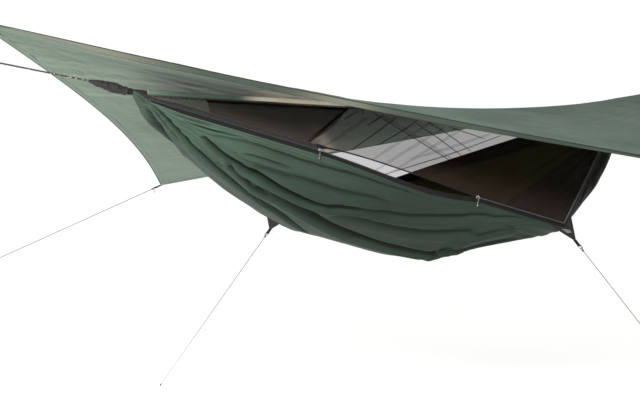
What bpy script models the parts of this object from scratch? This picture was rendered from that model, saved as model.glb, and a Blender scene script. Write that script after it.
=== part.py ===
"""Zip hammock tent: a gathered-end hammock bed with a zipped net roof, hung on a rope under a four-cornered rain fly.

Metres, +Z up, +X along the ridgeline from the left gather to the right gather, -Y towards the zip side.
The origin is in the middle of the whipping on the left gather, where the rope, the ridgeline and the bed meet.
"""

import math

import bmesh
import bpy
from mathutils import Matrix, Vector

# The ridgeline and the gathers at its ends
ridgeline_length = 2.700
ridgeline_radius = 0.0016
ridgeline_drop = 0.0140
gather_length = 0.070
gather_neck_radius = 0.0095
gather_sides = 30
gather_bed_share = 0.7
whipping_radius = 0.0125
whipping_length = 0.0200
whipping_turn_share = 0.75
sleeve_length = 0.165
sleeve_radius = 0.0175
sleeve_neck_radius = 0.0095
sleeve_tip_radius = 0.0050
sleeve_rise = 0.0330
main_rope_radius = 0.0030
main_rope_length = 0.400
main_rope_rise_share = 0.125

# The bed: its two corners, its edge and its belly
bed_corner_shift = 0.288
bed_corner_reach = 0.638
bed_corner_drop = 0.4985
keel_depth = 0.660
keel_peak_power = 1.21
keel_power = 0.91
wall_power_at_gather = 2.24
wall_power_at_zip_end = 6.0
wall_power_at_corner = 1.67
cloth_thickness = 0.0020
bed_hem_depth = 0.0060
end_billow = 0.074
fold_height = 0.0110
fold_count = 4.0
fold_phase_share = 0.15
fold_slant_share = 0.55
fold_calm_share = 0.55
fold_full_depth = 0.090

# The net roof, its ridge tape and the pocket sewn inside it
net_thickness = 0.0012
ridge_tape_height = 0.0160
ridge_tape_thickness = 0.0024
ridge_tape_above = 0.0100
net_end_clearance = 0.1150
net_top_apart = 0.0012
net_top_below_tape = 0.0008
edge_binding_width = 0.0120
edge_binding_thickness = 0.0020
pocket_left_top_at = 0.322
pocket_right_top_at = 0.990
pocket_left_bottom_at = 0.293
pocket_right_bottom_at = 0.640
pocket_top_below = 0.0140
pocket_inside_net = 0.0006
pocket_thickness = 0.0012
pocket_band_width = 0.0170
pocket_band_thickness = 0.0016

# The zip: tapes, coils, opening, sliders and pulls
zip_coil_radius = 0.0026
zip_half_coil_radius = 0.0012
zip_upper_tape_width = 0.0340
zip_lower_tape_width = 0.0170
zip_tape_thickness = 0.0016
zip_tape_full_width_at = 0.0900
zip_left_slider_at = 0.756
zip_right_slider_at = 1.433
zip_opening_rise = 0.0170
zip_opening_sag = 0.0170
zip_lower_tape_lean_share = 0.25
slider_length = 0.0170
slider_width = 0.0110
slider_thickness = 0.0026
slider_edge_bevel = 0.0008
bail_length = 0.0120
bail_height = 0.0060
bail_width = 0.0024
bail_bar_thickness = 0.0018
pull_cord_radius = 0.0011
pull_loop_length = 0.0360
pull_loop_half_width = 0.0032
pull_knot_radius = 0.0036
pull_lean_share = 0.30

# The rain fly, a saddle held at four corners
fly_half_ridge = 1.940
fly_ridge_rise = 0.214
fly_side_shift = 0.508
fly_side_reach = 1.410
fly_side_drop = 0.327
fly_ridge_power = 2.0
fly_slope_power = 1.3
fly_long_edge_cut_share = 0.0886
fly_short_edge_cut_share = 0.0806
fly_thickness = 0.0020
fly_hem_width = 0.0220
fly_hem_thickness = 0.0034

# The webbing tabs, rings and cord ends at the corners
strap_width = 0.0150
strap_thickness = 0.0018
strap_length = 0.0340
ring_wire_radius = 0.0014
ring_half_width = 0.0105
ring_straight = 0.0070
strap_hole_clearance = 0.0005
cord_eye_radius = 0.0048
cord_knot_radius = 0.0034
cord_knot_length = 0.0110
guy_line_radius = 0.0012
corner_patch_left = 0.086
corner_patch_right = 0.100
corner_patch_thickness = 0.0018
corner_strap_reach = 0.070
label_thickness = 0.0008
label_clearance = 0.0005
label_across_shares = (0.34, 0.72)
label_along_shares = (0.20, 0.55)
fly_guy_length = 1.450
fly_guy_drop_share = 0.324
far_guy_run = 1.090
far_guy_drop = 0.855
near_guy_run = 0.380
near_guy_drop_share = 0.873
near_guy_side_share = 0.082

# The hooks that hang on the ridgeline and at the fly
ridge_loop_radius = 0.0042
ridge_loop_wire = 0.0009
ridge_hook_wire = 0.0009
ridge_hook_eye_radius = 0.0026
ridge_hook_length = 0.0130
ridge_hook_bend_radius = 0.0030
ridge_hook_left_at = 1.003
ridge_hook_right_at = 1.091
fly_hook_wire = 0.0010
fly_hook_eye_radius = 0.0040
fly_hook_length = 0.0160
fly_hook_bend_radius = 0.0042
hook_shank_share = 1.2

# What keeps neighbours apart
touching_gap = 0.0003
seam_gap = 0.0006
running_gap = 0.0004

mid_x = ridgeline_length / 2
near_side = -1
far_side = 1

for old in list(bpy.data.objects):
    bpy.data.objects.remove(old, do_unlink=True)

collection = bpy.data.collections.new("hammock_tent")
bpy.context.scene.collection.children.link(collection)


def material(name, colour, roughness, metallic=0.0):
    """A plain surface; colour is linear red, green and blue."""
    made = bpy.data.materials.new(name)
    made.use_nodes = True
    shader = made.node_tree.nodes["Principled BSDF"]
    shader.inputs["Base Color"].default_value = (*colour, 1.0)
    shader.inputs["Roughness"].default_value = roughness
    shader.inputs["Metallic"].default_value = metallic
    made.diffuse_color = (*colour, 1.0)
    return made


bed_green = material("bed_green", (0.075, 0.125, 0.092), 0.62)
fly_green = material("fly_green", (0.155, 0.215, 0.165), 0.60)
hem_black = material("hem_black", (0.020, 0.020, 0.019), 0.75)
net_black = material("net_black", (0.035, 0.027, 0.024), 0.80)
webbing_black = material("webbing_black", (0.012, 0.012, 0.013), 0.78)
zip_black = material("zip_black", (0.022, 0.021, 0.024), 0.50)
zip_metal = material("zip_metal", (0.52, 0.52, 0.50), 0.32, 1.0)
ring_metal = material("ring_metal", (0.48, 0.48, 0.47), 0.30, 1.0)
cord_grey = material("cord_grey", (0.30, 0.30, 0.28), 0.80)
rope_dark = material("rope_dark", (0.050, 0.062, 0.050), 0.85)
hook_black = material("hook_black", (0.014, 0.014, 0.015), 0.45)
label_grey = material("label_grey", (0.135, 0.135, 0.140), 0.70)


def finish(obj, look, smooth_degrees=35):
    """Gives an object its material and its smooth shading."""
    if obj.name not in collection.objects:
        collection.objects.link(obj)
    obj.data.materials.clear()
    obj.data.materials.append(look)
    if obj.type == "MESH":
        obj.data.shade_smooth()
        obj.data.set_sharp_from_angle(angle=math.radians(smooth_degrees))
    return obj


def frame_at(place, along, up):
    """A matrix whose X runs along, whose Z is as near up as it can be, at a place."""
    x = Vector(along).normalized()
    y = Vector(up).cross(x).normalized()
    z = x.cross(y)
    turned = Matrix((x, y, z)).transposed().to_4x4()
    return Matrix.Translation(Vector(place)) @ turned


def cloth(name, columns, rows, point_at, thickness, look):
    """A solid sheet: a grid whose points are put where point_at says, made thick on both sides alike."""
    bm = bmesh.new()
    bmesh.ops.create_grid(bm, x_segments=columns, y_segments=rows, size=0.5)
    bmesh.ops.triangulate(bm, faces=bm.faces, quad_method="FIXED")
    for vertex in bm.verts:
        vertex.co = point_at(vertex.co.x + 0.5, vertex.co.y + 0.5)
    mesh = bpy.data.meshes.new(name)
    bm.to_mesh(mesh)
    bm.free()
    obj = bpy.data.objects.new(name, mesh)
    shell = obj.modifiers.new("thickness", "SOLIDIFY")
    shell.thickness = thickness
    shell.offset = 0.0
    return finish(obj, look)


def flat_piece(name, outlines, thickness, place, look):
    """A flat outline, with any holes, laid in its frame's XY plane and made thick on both sides alike."""
    curve = bpy.data.curves.new(name, "CURVE")
    curve.dimensions = "2D"
    curve.fill_mode = "BOTH"
    curve.extrude = thickness / 2
    for outline in outlines:
        spline = curve.splines.new("POLY")
        spline.points.add(len(outline) - 1)
        for point, (x, y) in zip(spline.points, outline):
            point.co = (x, y, 0, 1)
        spline.use_cyclic_u = True
    obj = bpy.data.objects.new(name, curve)
    obj.matrix_world = place
    return finish(obj, look)


def tube(name, points, radius, look, closed=False, sides=2, place=None):
    """A round tube along points."""
    curve = bpy.data.curves.new(name, "CURVE")
    curve.dimensions = "3D"
    curve.bevel_depth = radius
    curve.bevel_resolution = sides
    curve.use_fill_caps = not closed
    curve.twist_mode = "MINIMUM"
    spline = curve.splines.new("POLY")
    spline.points.add(len(points) - 1)
    for point, co in zip(spline.points, points):
        point.co = (*co, 1)
    spline.use_cyclic_u = closed
    obj = bpy.data.objects.new(name, curve)
    if place is not None:
        obj.matrix_world = place
    return finish(obj, look)


def turned(name, profile, place, look, steps=20):
    """A turned piece: (distance along, radius) pairs, turned round the frame's X axis."""
    bm = bmesh.new()
    corners = [bm.verts.new((along, 0, radius)) for along, radius in profile]
    for a, b in zip(corners, corners[1:]):
        bm.edges.new((a, b))
    mesh = bpy.data.meshes.new(name)
    bm.to_mesh(mesh)
    bm.free()
    obj = bpy.data.objects.new(name, mesh)
    screw = obj.modifiers.new("turn", "SCREW")
    screw.axis = "X"
    screw.steps = steps
    screw.render_steps = steps
    screw.use_merge_vertices = True
    screw.merge_threshold = 0.00001
    screw.use_normal_calculate = True
    obj.matrix_world = place
    return finish(obj, look)


def as_mesh(obj):
    """The mesh object of a curve or of an object with modifiers, with its loose caps welded."""
    bpy.context.view_layer.update()
    evaluated = obj.evaluated_get(bpy.context.evaluated_depsgraph_get())
    mesh = bpy.data.meshes.new_from_object(evaluated)
    mesh.transform(obj.matrix_world)
    bm = bmesh.new()
    bm.from_mesh(mesh)
    bmesh.ops.remove_doubles(bm, verts=bm.verts, dist=0.000001)
    bmesh.ops.recalc_face_normals(bm, faces=bm.faces)
    bm.to_mesh(mesh)
    bm.free()
    name, look = obj.name, obj.data.materials[0]
    bpy.data.objects.remove(obj, do_unlink=True)
    return finish(bpy.data.objects.new(name, mesh), look)


def joined(first, others):
    """One solid made of several that overlap."""
    base = as_mesh(first)
    for other in others:
        tool = as_mesh(other)
        union = base.modifiers.new("join", "BOOLEAN")
        union.operation = "UNION"
        union.solver = "EXACT"
        union.object = tool
        base = as_mesh(base)
        bpy.data.objects.remove(tool, do_unlink=True)
    return base


def moved_origin(obj, place):
    """Moves a mesh object's origin to a place without moving its shape."""
    obj.data.transform(Matrix.Translation(-Vector(place)))
    obj.matrix_world = Matrix.Translation(Vector(place))
    return obj


def between(share, low, high):
    """The value that lies a share of the way from low to high."""
    return low + (high - low) * share


def arc(centre, radius, start_degrees, end_degrees, count):
    """Points on part of a circle in a plane."""
    out = []
    for i in range(count + 1):
        angle = math.radians(start_degrees + (end_degrees - start_degrees) * i / count)
        out.append((centre[0] + radius * math.cos(angle), centre[1] + radius * math.sin(angle)))
    return out


# The planes of the net roof: each runs from the ridge tape's foot down to its bed corner
net_top_z = ridge_tape_above - ridge_tape_height - net_top_below_tape
slope_run = bed_corner_reach - net_top_apart
slope_fall = bed_corner_drop + net_top_z
slope_length = math.hypot(slope_run, slope_fall)
tape_foot_z = ridge_tape_above - ridge_tape_height


def corner_x(side):
    """Where along the ridgeline a side's bed corner is."""
    return mid_x - side * bed_corner_shift


def slope_down(side):
    """The direction down a side's net."""
    return Vector((0, side * slope_run, -slope_fall)) / slope_length


def net_frame(side):
    """X along the ridgeline, Y down the net, from the net's top line at the left gather."""
    down = slope_down(side)
    x = Vector((1, 0, 0))
    turned_to = Matrix((x, down, x.cross(down))).transposed().to_4x4()
    return Matrix.Translation((0, side * net_top_apart, net_top_z)) @ turned_to


def edge_depth(side, x):
    """How far down the net the bed's edge is at a place along the ridgeline."""
    at = corner_x(side)
    share = x / at if x <= at else (ridgeline_length - x) / (ridgeline_length - at)
    return slope_length * share


def edge_point(side, x):
    """The bed's edge at a place along the ridgeline."""
    return net_frame(side) @ Vector((x, edge_depth(side, x), 0))


# The zip runs along the near edge; its opening lies between the sliders
track_length = (edge_point(near_side, corner_x(near_side)) - edge_point(near_side, 0)).length
track = (edge_point(near_side, corner_x(near_side)) - edge_point(near_side, 0)).normalized()
x_per_track = track.x
open_from = zip_left_slider_at * x_per_track
open_to = zip_right_slider_at * x_per_track


def open_share(x):
    """Nought where the zip is closed and one in the middle of its opening."""
    if x <= open_from or x >= open_to:
        return 0.0
    return math.sin(math.pi * (x - open_from) / (open_to - open_from))


def tape_share(x):
    """How much of their width the zip's tapes have where they run into the gathers."""
    return min(1.0, edge_depth(near_side, x) / zip_tape_full_width_at)


# Depths are measured down the net, which is longer than square to the zip
zip_steep_share = math.hypot(1, slope_length / (ridgeline_length - corner_x(near_side)))
coil_clear = (zip_coil_radius + running_gap) * zip_steep_share


def upper_tape_low(x):
    """Depth down the net of the upper tape's lower edge."""
    return edge_depth(near_side, x) - coil_clear - zip_opening_rise * open_share(x)


def upper_tape_high(x):
    """Depth down the net of the upper tape's upper edge."""
    return upper_tape_low(x) - zip_upper_tape_width * tape_share(x)


lower_tape_down = Vector((0, -zip_lower_tape_lean_share, -1)).normalized()
far_wall_down = Vector((0, zip_lower_tape_lean_share, -1)).normalized()


def lower_tape_point(x, share):
    """A point on the lower tape, from its coil edge (0) to its seam with the bed (1)."""
    start = zip_coil_radius + running_gap + zip_opening_sag * open_share(x)
    width = zip_lower_tape_width * tape_share(x)
    return edge_point(near_side, x) + lower_tape_down * (start + width * share)


def spans(share, counts, places):
    """The place along the ridgeline of a grid column, with whole columns in each span."""
    column = share * sum(counts)
    passed = 0
    for count, start, end in zip(counts, places, places[1:]):
        if column <= passed + count + 0.000001:
            return start + (end - start) * (column - passed) / count
        passed += count
    return places[-1]


def edge_stations(counts, places):
    """Places along the ridgeline for the points of a strip's outline."""
    total = sum(counts)
    return [spans(i / total, counts, places) for i in range(total + 1)]


cloth_start = gather_length
cloth_end = ridgeline_length - gather_length
trim_start = gather_length + touching_gap
trim_end = ridgeline_length - gather_length - touching_gap

# Every strip along the zip has its points at the same places, so that they stay side by side
tape_full_from = zip_tape_full_width_at / slope_length * corner_x(near_side)
tape_full_to = ridgeline_length - zip_tape_full_width_at / slope_length * (ridgeline_length - corner_x(near_side))
zip_places = sorted((tape_full_from, open_from, corner_x(far_side), open_to, corner_x(near_side), tape_full_to))
bed_columns = (2, 8, 5, 3, 4, 8, 2)
strip_columns = (1, 1, 5, 3, 1, 1, 1)


# The bed
near_rim_gap = touching_gap
far_rim_gap = edge_binding_thickness / 2 + touching_gap


def trough_point(x, across):
    """A point of the hanging trough below the bed's hems, with folds that run out of the gathers."""
    near = lower_tape_point(x, 1.0) + lower_tape_down * (near_rim_gap + bed_hem_depth * tape_share(x))
    far = edge_point(far_side, x) + far_wall_down * (far_rim_gap + bed_hem_depth * tape_share(x))
    along = x / ridgeline_length
    keel = keel_depth * (1 - abs(2 * along - 1) ** keel_peak_power) ** keel_power
    side = math.sin((across - 0.5) * math.pi)
    pulled_share = edge_depth(near_side if side < 0 else far_side, x) / slope_length
    full_wall = (side < 0) == (x > mid_x)
    wall_power = between(pulled_share, wall_power_at_zip_end if full_wall else wall_power_at_gather, wall_power_at_corner)
    level = 1 - abs(side) ** wall_power
    middle, half = (near + far) / 2, (far - near) / 2
    depth = keel + middle.z
    end_run = ridgeline_length - corner_x(near_side)
    end_share = min(x, ridgeline_length - x) / end_run
    billow = 0.0
    if full_wall and end_share < 1:
        billow = end_billow * 4 * level * (1 - level) * math.sin(math.pi * end_share) ** 0.5
    wave = math.sin(2 * math.pi * (fold_count * across + fold_phase_share + fold_slant_share * along))
    lift = fold_height * wave * level * (1 - fold_calm_share * pulled_share) * min(1.0, depth / fold_full_depth)
    return Vector(
        (
            x,
            middle.y + half.y * side + lift * side + math.copysign(billow, side),
            middle.z + half.z * side - (depth + lift) * level,
        )
    )


def bed_point(x, across):
    """A point of the bed: a narrow hem under the zip's tape, the trough, and a narrow hem under the far edge."""
    hem_share = 1 / bed_rows
    if across < hem_share:
        rim = lower_tape_point(x, 1.0) + lower_tape_down * near_rim_gap
        return rim.lerp(trough_point(x, 0), across / hem_share)
    if across > 1 - hem_share:
        rim = edge_point(far_side, x) + far_wall_down * far_rim_gap
        return rim.lerp(trough_point(x, 1), (across - 1 + hem_share) / hem_share)
    return trough_point(x, (across - hem_share) / (1 - 2 * hem_share))


bed_rows = 16
bed_places = (cloth_start, *zip_places, cloth_end)
cloth(
    "hammock_body",
    sum(bed_columns),
    bed_rows,
    lambda u, v: bed_point(spans(u, bed_columns, bed_places), v),
    cloth_thickness,
    bed_green,
)


# The lower zip tape and the far edge binding, which close the bed's rim
tape_places = (trim_start, *zip_places, trim_end)
cloth(
    "zip_tape_lower",
    sum(bed_columns),
    1,
    lambda u, v: lower_tape_point(spans(u, bed_columns, tape_places), v),
    zip_tape_thickness,
    zip_black,
)

upper_x = edge_stations(strip_columns, tape_places)
flat_piece(
    "zip_tape_upper",
    [[(x, upper_tape_high(x)) for x in upper_x] + [(x, upper_tape_low(x)) for x in reversed(upper_x)]],
    zip_tape_thickness,
    net_frame(near_side),
    zip_black,
)

# The net roof
net_x = edge_stations(strip_columns, (net_end_clearance, *zip_places, ridgeline_length - net_end_clearance))
flat_piece(
    "near_net",
    [[(x, 0) for x in (net_x[0], net_x[-1])] + [(x, upper_tape_high(x) - seam_gap) for x in reversed(net_x)]],
    net_thickness,
    net_frame(near_side),
    net_black,
)

far_x = edge_stations((2, 2), (net_end_clearance, corner_x(far_side), ridgeline_length - net_end_clearance))
flat_piece(
    "far_net",
    [
        [(x, 0) for x in (far_x[0], far_x[-1])]
        + [(x, edge_depth(far_side, x) - edge_binding_width - seam_gap) for x in reversed(far_x)]
    ],
    net_thickness,
    net_frame(far_side),
    net_black,
)
binding_x = edge_stations((2, 2), (trim_start, corner_x(far_side), trim_end))
flat_piece(
    "far_edge_binding",
    [
        [(x, edge_depth(far_side, x) - edge_binding_width) for x in binding_x]
        + [(x, edge_depth(far_side, x)) for x in reversed(binding_x)]
    ],
    edge_binding_thickness,
    net_frame(far_side),
    hem_black,
)

tape_frame = Matrix.Rotation(math.radians(90), 4, "X")
flat_piece(
    "ridge_tape",
    [
        [
            (trim_start, tape_foot_z),
            (trim_end, tape_foot_z),
            (trim_end, ridge_tape_above),
            (trim_start, ridge_tape_above),
        ]
    ],
    ridge_tape_thickness,
    tape_frame,
    webbing_black,
)

ridgeline_z = -ridgeline_drop
ridgeline_inset = gather_length - cloth_thickness / 2
tube(
    "ridgeline",
    [(ridgeline_inset, 0, ridgeline_z), (ridgeline_length - ridgeline_inset, 0, ridgeline_z)],
    ridgeline_radius,
    rope_dark,
)

# The pocket inside the near net, closed on its right by a sewn band
pocket_off_net = (net_thickness + pocket_thickness) / 2 + pocket_inside_net
pocket_frame = net_frame(near_side) @ Matrix.Translation((0, 0, pocket_off_net))


def pocket_low(x):
    """Where the pocket ends above the zip's upper tape."""
    return upper_tape_high(x) - seam_gap


flat_piece(
    "gear_pocket",
    [
        [
            (pocket_left_top_at, pocket_top_below),
            (pocket_right_top_at, pocket_top_below),
            (pocket_right_bottom_at, pocket_low(pocket_right_bottom_at)),
            (pocket_left_bottom_at, pocket_low(pocket_left_bottom_at)),
        ]
    ],
    pocket_thickness,
    pocket_frame,
    net_black,
)
flat_piece(
    "gear_pocket_band",
    [
        [
            (pocket_right_top_at + seam_gap, pocket_top_below),
            (pocket_right_top_at + seam_gap + pocket_band_width, pocket_top_below),
            (pocket_right_bottom_at + seam_gap + pocket_band_width, pocket_low(pocket_right_bottom_at + pocket_band_width)),
            (pocket_right_bottom_at + seam_gap, pocket_low(pocket_right_bottom_at)),
        ]
    ],
    pocket_band_thickness,
    pocket_frame,
    webbing_black,
)

# The zip's coil: closed on both sides of the opening, split in halves along it
coil_start = edge_point(near_side, trim_start)
coil_corner = edge_point(near_side, corner_x(near_side))
coil_end = edge_point(near_side, trim_end)
left_stop = edge_point(near_side, open_from)
right_stop = edge_point(near_side, open_to)
coil_left = tube("zip_coil", [coil_start, left_stop], zip_coil_radius, zip_black)
coil_right = tube("zip_coil_right", [right_stop, coil_corner, coil_end], zip_coil_radius, zip_black)
split_from = open_from - 2 * zip_half_coil_radius
split_to = open_to + 2 * zip_half_coil_radius
opening_x = [split_from] + [x for x in upper_x if open_from <= x <= open_to] + [split_to]
half_coil_down = (touching_gap + zip_half_coil_radius) * zip_steep_share
half_coil_out = zip_coil_radius + running_gap - touching_gap - zip_half_coil_radius
upper_half = tube(
    "zip_coil_upper_half",
    [net_frame(near_side) @ Vector((x, upper_tape_low(x) + half_coil_down, 0)) for x in opening_x],
    zip_half_coil_radius,
    zip_black,
)
lower_half = tube(
    "zip_coil_lower_half",
    [
        edge_point(near_side, x) + lower_tape_down * (half_coil_out + zip_opening_sag * open_share(x))
        for x in opening_x
    ],
    zip_half_coil_radius,
    zip_black,
)
joined(coil_left, [coil_right, upper_half, lower_half])

# The sliders ride on the outside of the coil; their cord pulls hang on a bail
outward = Vector((0, -1, zip_lower_tape_lean_share))
outward = (outward - track * outward.dot(track)).normalized()
slider_seat = zip_coil_radius + running_gap
bail_bar_height = slider_thickness + bail_height - bail_bar_thickness / 2
pull_hang = Vector((0, -pull_lean_share, -1))
pull_hang = (pull_hang - track * pull_hang.dot(track)).normalized()


def slider(name, along):
    """A slider: a plate on the coil and an arch over it, whose bar runs along the track; returns the bar's middle."""
    place = edge_point(near_side, 0) + track * along + outward * slider_seat
    side_view = Matrix((track, outward, track.cross(outward))).transposed().to_4x4()
    here = Matrix.Translation(place) @ side_view
    bm = bmesh.new()
    bmesh.ops.create_cube(bm, size=1)
    bmesh.ops.scale(bm, vec=(slider_length, slider_thickness, slider_width), verts=bm.verts)
    bmesh.ops.translate(bm, vec=(0, slider_thickness / 2, 0), verts=bm.verts)
    bmesh.ops.bevel(
        bm, geom=bm.edges[:], offset=slider_edge_bevel, segments=1, profile=0.5, affect="EDGES", material=-1
    )
    mesh = bpy.data.meshes.new(name)
    bm.to_mesh(mesh)
    bm.free()
    plate = bpy.data.objects.new(name, mesh)
    plate.matrix_world = here
    finish(plate, zip_metal)
    low = slider_thickness / 2
    high = slider_thickness + bail_height
    half = bail_length / 2
    inner = half - bail_bar_thickness
    slope = bail_height / 2
    outer_line = [(-half, low), (half, low), (half - slope / 2, high), (-half + slope / 2, high)]
    inner_line = [
        (-inner, slider_thickness),
        (inner, slider_thickness),
        (inner - slope / 2, high - bail_bar_thickness),
        (-inner + slope / 2, high - bail_bar_thickness),
    ]
    arch = flat_piece(name + "_arch", [outer_line, inner_line], bail_width, here, zip_metal)
    moved_origin(joined(plate, [arch]), place)
    return place + outward * bail_bar_height


def pull(name, bar):
    """A cord pull: a long loop through the bail, closed by a knot at its foot."""
    here = frame_at(bar, pull_hang, outward)
    outline = arc((0, 0), pull_loop_half_width, 90, 270, 8)
    outline += arc((pull_loop_length, 0), pull_loop_half_width, 270, 450, 8)
    loop = [(x, 0, z) for x, z in outline]
    ring = tube(name, loop, pull_cord_radius, cord_grey, closed=True, place=here)
    knot_profile = [
        (pull_loop_length - pull_knot_radius, 0),
        (pull_loop_length - pull_knot_radius / 2, pull_knot_radius),
        (pull_loop_length + pull_knot_radius, pull_knot_radius),
        (pull_loop_length + 2 * pull_knot_radius, 0),
    ]
    knot = turned(name + "_knot", knot_profile, here, cord_grey, steps=10)
    return moved_origin(joined(ring, [knot]), bar)


pull("zip_pull_left", slider("zip_slider_left", zip_left_slider_at))
pull("zip_pull_right", slider("zip_slider_right", zip_right_slider_at))


# The gathers, their whippings and the sleeves over the rope's ends
def section_point(at, share):
    """A point round the whole tent's section at a place along the ridgeline: the bed first, then the net roof."""
    if share < gather_bed_share:
        return bed_point(at, share / gather_bed_share)
    over = (share - gather_bed_share) / (1 - gather_bed_share)
    ridge = Vector((at, 0, ridge_tape_above))
    if over < 0.5:
        return bed_point(at, 1).lerp(ridge, over * 2)
    return ridge.lerp(bed_point(at, 0), over * 2 - 1)


def gather(name, end_x, inward):
    """The cone of bunched cloth from the whipping to the section where the bed starts."""
    bm = bmesh.new()
    bmesh.ops.create_cone(bm, cap_ends=True, segments=gather_sides, radius1=1, radius2=1, depth=1)
    wide_x = end_x + inward * gather_length
    neck_x = end_x + inward * (whipping_length / 2 + touching_gap)
    for vertex in bm.verts:
        share = (math.atan2(vertex.co.x, vertex.co.y) / (2 * math.pi)) % 1
        turned_angle = 2 * math.pi * (share - gather_bed_share / 2)
        if vertex.co.z > 0:
            place = section_point(wide_x, share)
            vertex.co = (wide_x - inward * (touching_gap + cloth_thickness / 2), place.y, place.z)
        else:
            vertex.co = (neck_x, gather_neck_radius * math.sin(turned_angle), -gather_neck_radius * math.cos(turned_angle))
    if bm.calc_volume(signed=True) < 0:
        bmesh.ops.reverse_faces(bm, faces=bm.faces)
    mesh = bpy.data.meshes.new(name)
    bm.to_mesh(mesh)
    bm.free()
    return finish(bpy.data.objects.new(name, mesh), bed_green)


def whipping(name, end_x, inward):
    """The lashing round the neck of a gather: three fat turns side by side."""
    turn = whipping_length / 3
    valley = whipping_radius * whipping_turn_share
    profile = [(-whipping_length / 2, 0), (-whipping_length / 2, valley)]
    for i in range(3):
        start = -whipping_length / 2 + i * turn
        profile += [(start + turn / 3, whipping_radius), (start + 2 * turn / 3, whipping_radius), (start + turn, valley)]
    profile.append((whipping_length / 2, 0))
    return turned(name, profile, Matrix.Translation((end_x, 0, 0)), webbing_black, steps=20)


sleeve_profile_share = ((0.10, 0.80), (0.28, 1.0), (0.48, 0.86), (0.72, 0.56))


def sleeve(name, end_x, outwards):
    """The black sleeve over the rope's end, gathered at the whipping and narrow at its tip; returns its tip."""
    along = Vector((outwards * sleeve_length, 0, sleeve_rise)).normalized()
    clear = whipping_length / 2 + touching_gap + sleeve_neck_radius * along.z
    start = Vector((end_x + outwards * clear, 0, 0))
    span = sleeve_length - clear
    profile = [(0, 0), (0, sleeve_neck_radius)]
    for place_share, radius_share in sleeve_profile_share:
        profile.append((place_share * span, between(radius_share, sleeve_tip_radius, sleeve_radius)))
    profile += [(span, sleeve_tip_radius), (span, 0)]
    turned(name, profile, frame_at(start, along, (0, 0, 1)), webbing_black, steps=16)
    return start + along * span


gather("left_gather", 0, 1)
gather("right_gather", ridgeline_length, -1)
whipping("left_whipping", 0, 1)
whipping("right_whipping", ridgeline_length, -1)
left_tip = sleeve("left_sleeve", 0, -1)
right_tip = sleeve("right_sleeve", ridgeline_length, 1)


# Corner hardware: strap with an eye, ring in the eye, cord end on the ring
strap_hole_radius = ring_wire_radius + strap_hole_clearance
strap_eye_radius = strap_hole_radius + strap_thickness
ring_reach = ring_straight + ring_half_width


def pull_frame(place, along):
    """X along the pull, Y level across it, Z up out of the strap."""
    return frame_at(place, along, (0, 0, 1))


def strap(name, place, along):
    """A folded webbing strap whose fold holds the ring's bar; returns the bar's frame."""
    here = pull_frame(place, along)
    side_view = here @ Matrix.Rotation(math.radians(90), 4, "X")
    eye_x = strap_length
    half = strap_thickness
    start_angle = math.degrees(math.asin(half / strap_eye_radius))
    outline = [(0, -half)]
    outline += arc((eye_x, 0), strap_eye_radius, -180 + start_angle, 180 - start_angle, 14)
    outline.append((0, half))
    hole = arc((eye_x, 0), strap_hole_radius, 0, 360, 12)[:-1]
    flat_piece(name, [outline, hole], strap_width, side_view, webbing_black)
    return here @ Matrix.Translation((eye_x, 0, 0))


def ring(name, bar_frame):
    """A D-shaped wire ring: its straight bar lies in the strap's eye."""
    corner = ring_wire_radius * 2
    points = arc((corner, -ring_half_width + corner), corner, 180, 270, 3)
    points += arc((ring_straight, 0), ring_half_width, -90, 90, 10)
    points += arc((corner, ring_half_width - corner), corner, 90, 180, 3)
    line = [(x, y, 0) for x, y in points]
    return tube(name, line, ring_wire_radius, ring_metal, closed=True, sides=1, place=bar_frame)


def cord_end(name, here, radius, look):
    """A cord's tied eye and its knot; the eye's centre is at the frame's origin and the knot is along +X."""
    eye_line = [(x, 0, z) for x, z in arc((0, 0), cord_eye_radius, 0, 360, 14)[:-1]]
    eye = tube(name, eye_line, radius, look, closed=True, sides=1, place=here)
    start = cord_eye_radius - radius / 2
    profile = [
        (start, 0),
        (start + radius, cord_knot_radius * radius / guy_line_radius),
        (start + cord_knot_length - radius, cord_knot_radius * radius / guy_line_radius),
        (start + cord_knot_length, 0),
    ]
    knot = turned(name + "_knot", profile, here, look, steps=10)
    joined(eye, [knot])
    return here @ Vector((start + cord_knot_length + touching_gap, 0, 0))


def line_end_frame(end, along):
    """The frame of the eye that closes a line's outer end, facing back along the line."""
    back = -Vector(along).normalized()
    reach = cord_eye_radius - guy_line_radius / 2 + cord_knot_length + touching_gap
    return pull_frame(Vector(end) - back * reach, back)


def guyed_corner(prefix, place, along, length):
    """A strap, ring and guy line, with the eyes that end the line."""
    bar_frame = strap(prefix + "_strap", place, along)
    ring(prefix + "_ring", bar_frame)
    eye_at = ring_reach - ring_wire_radius - touching_gap - guy_line_radius + cord_eye_radius
    start = cord_end(prefix + "_guy_eye", bar_frame @ Matrix.Translation((eye_at, 0, 0)), guy_line_radius, cord_grey)
    end = start + Vector(along).normalized() * length
    tube(prefix + "_guy_line", [start, (start + end) / 2, end], guy_line_radius, cord_grey, sides=2)
    cord_end(prefix + "_guy_end", line_end_frame(end, along), guy_line_radius, cord_grey)
    return bar_frame


# The bed's tie-outs: a black patch from the bed's corner, then the strap
def tie_direction(side):
    """Which way a side's guy line pulls."""
    if side == far_side:
        return Vector((0, far_guy_run, -far_guy_drop)).normalized()
    return Vector((-near_guy_side_share, -1, -near_guy_drop_share)).normalized()


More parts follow.
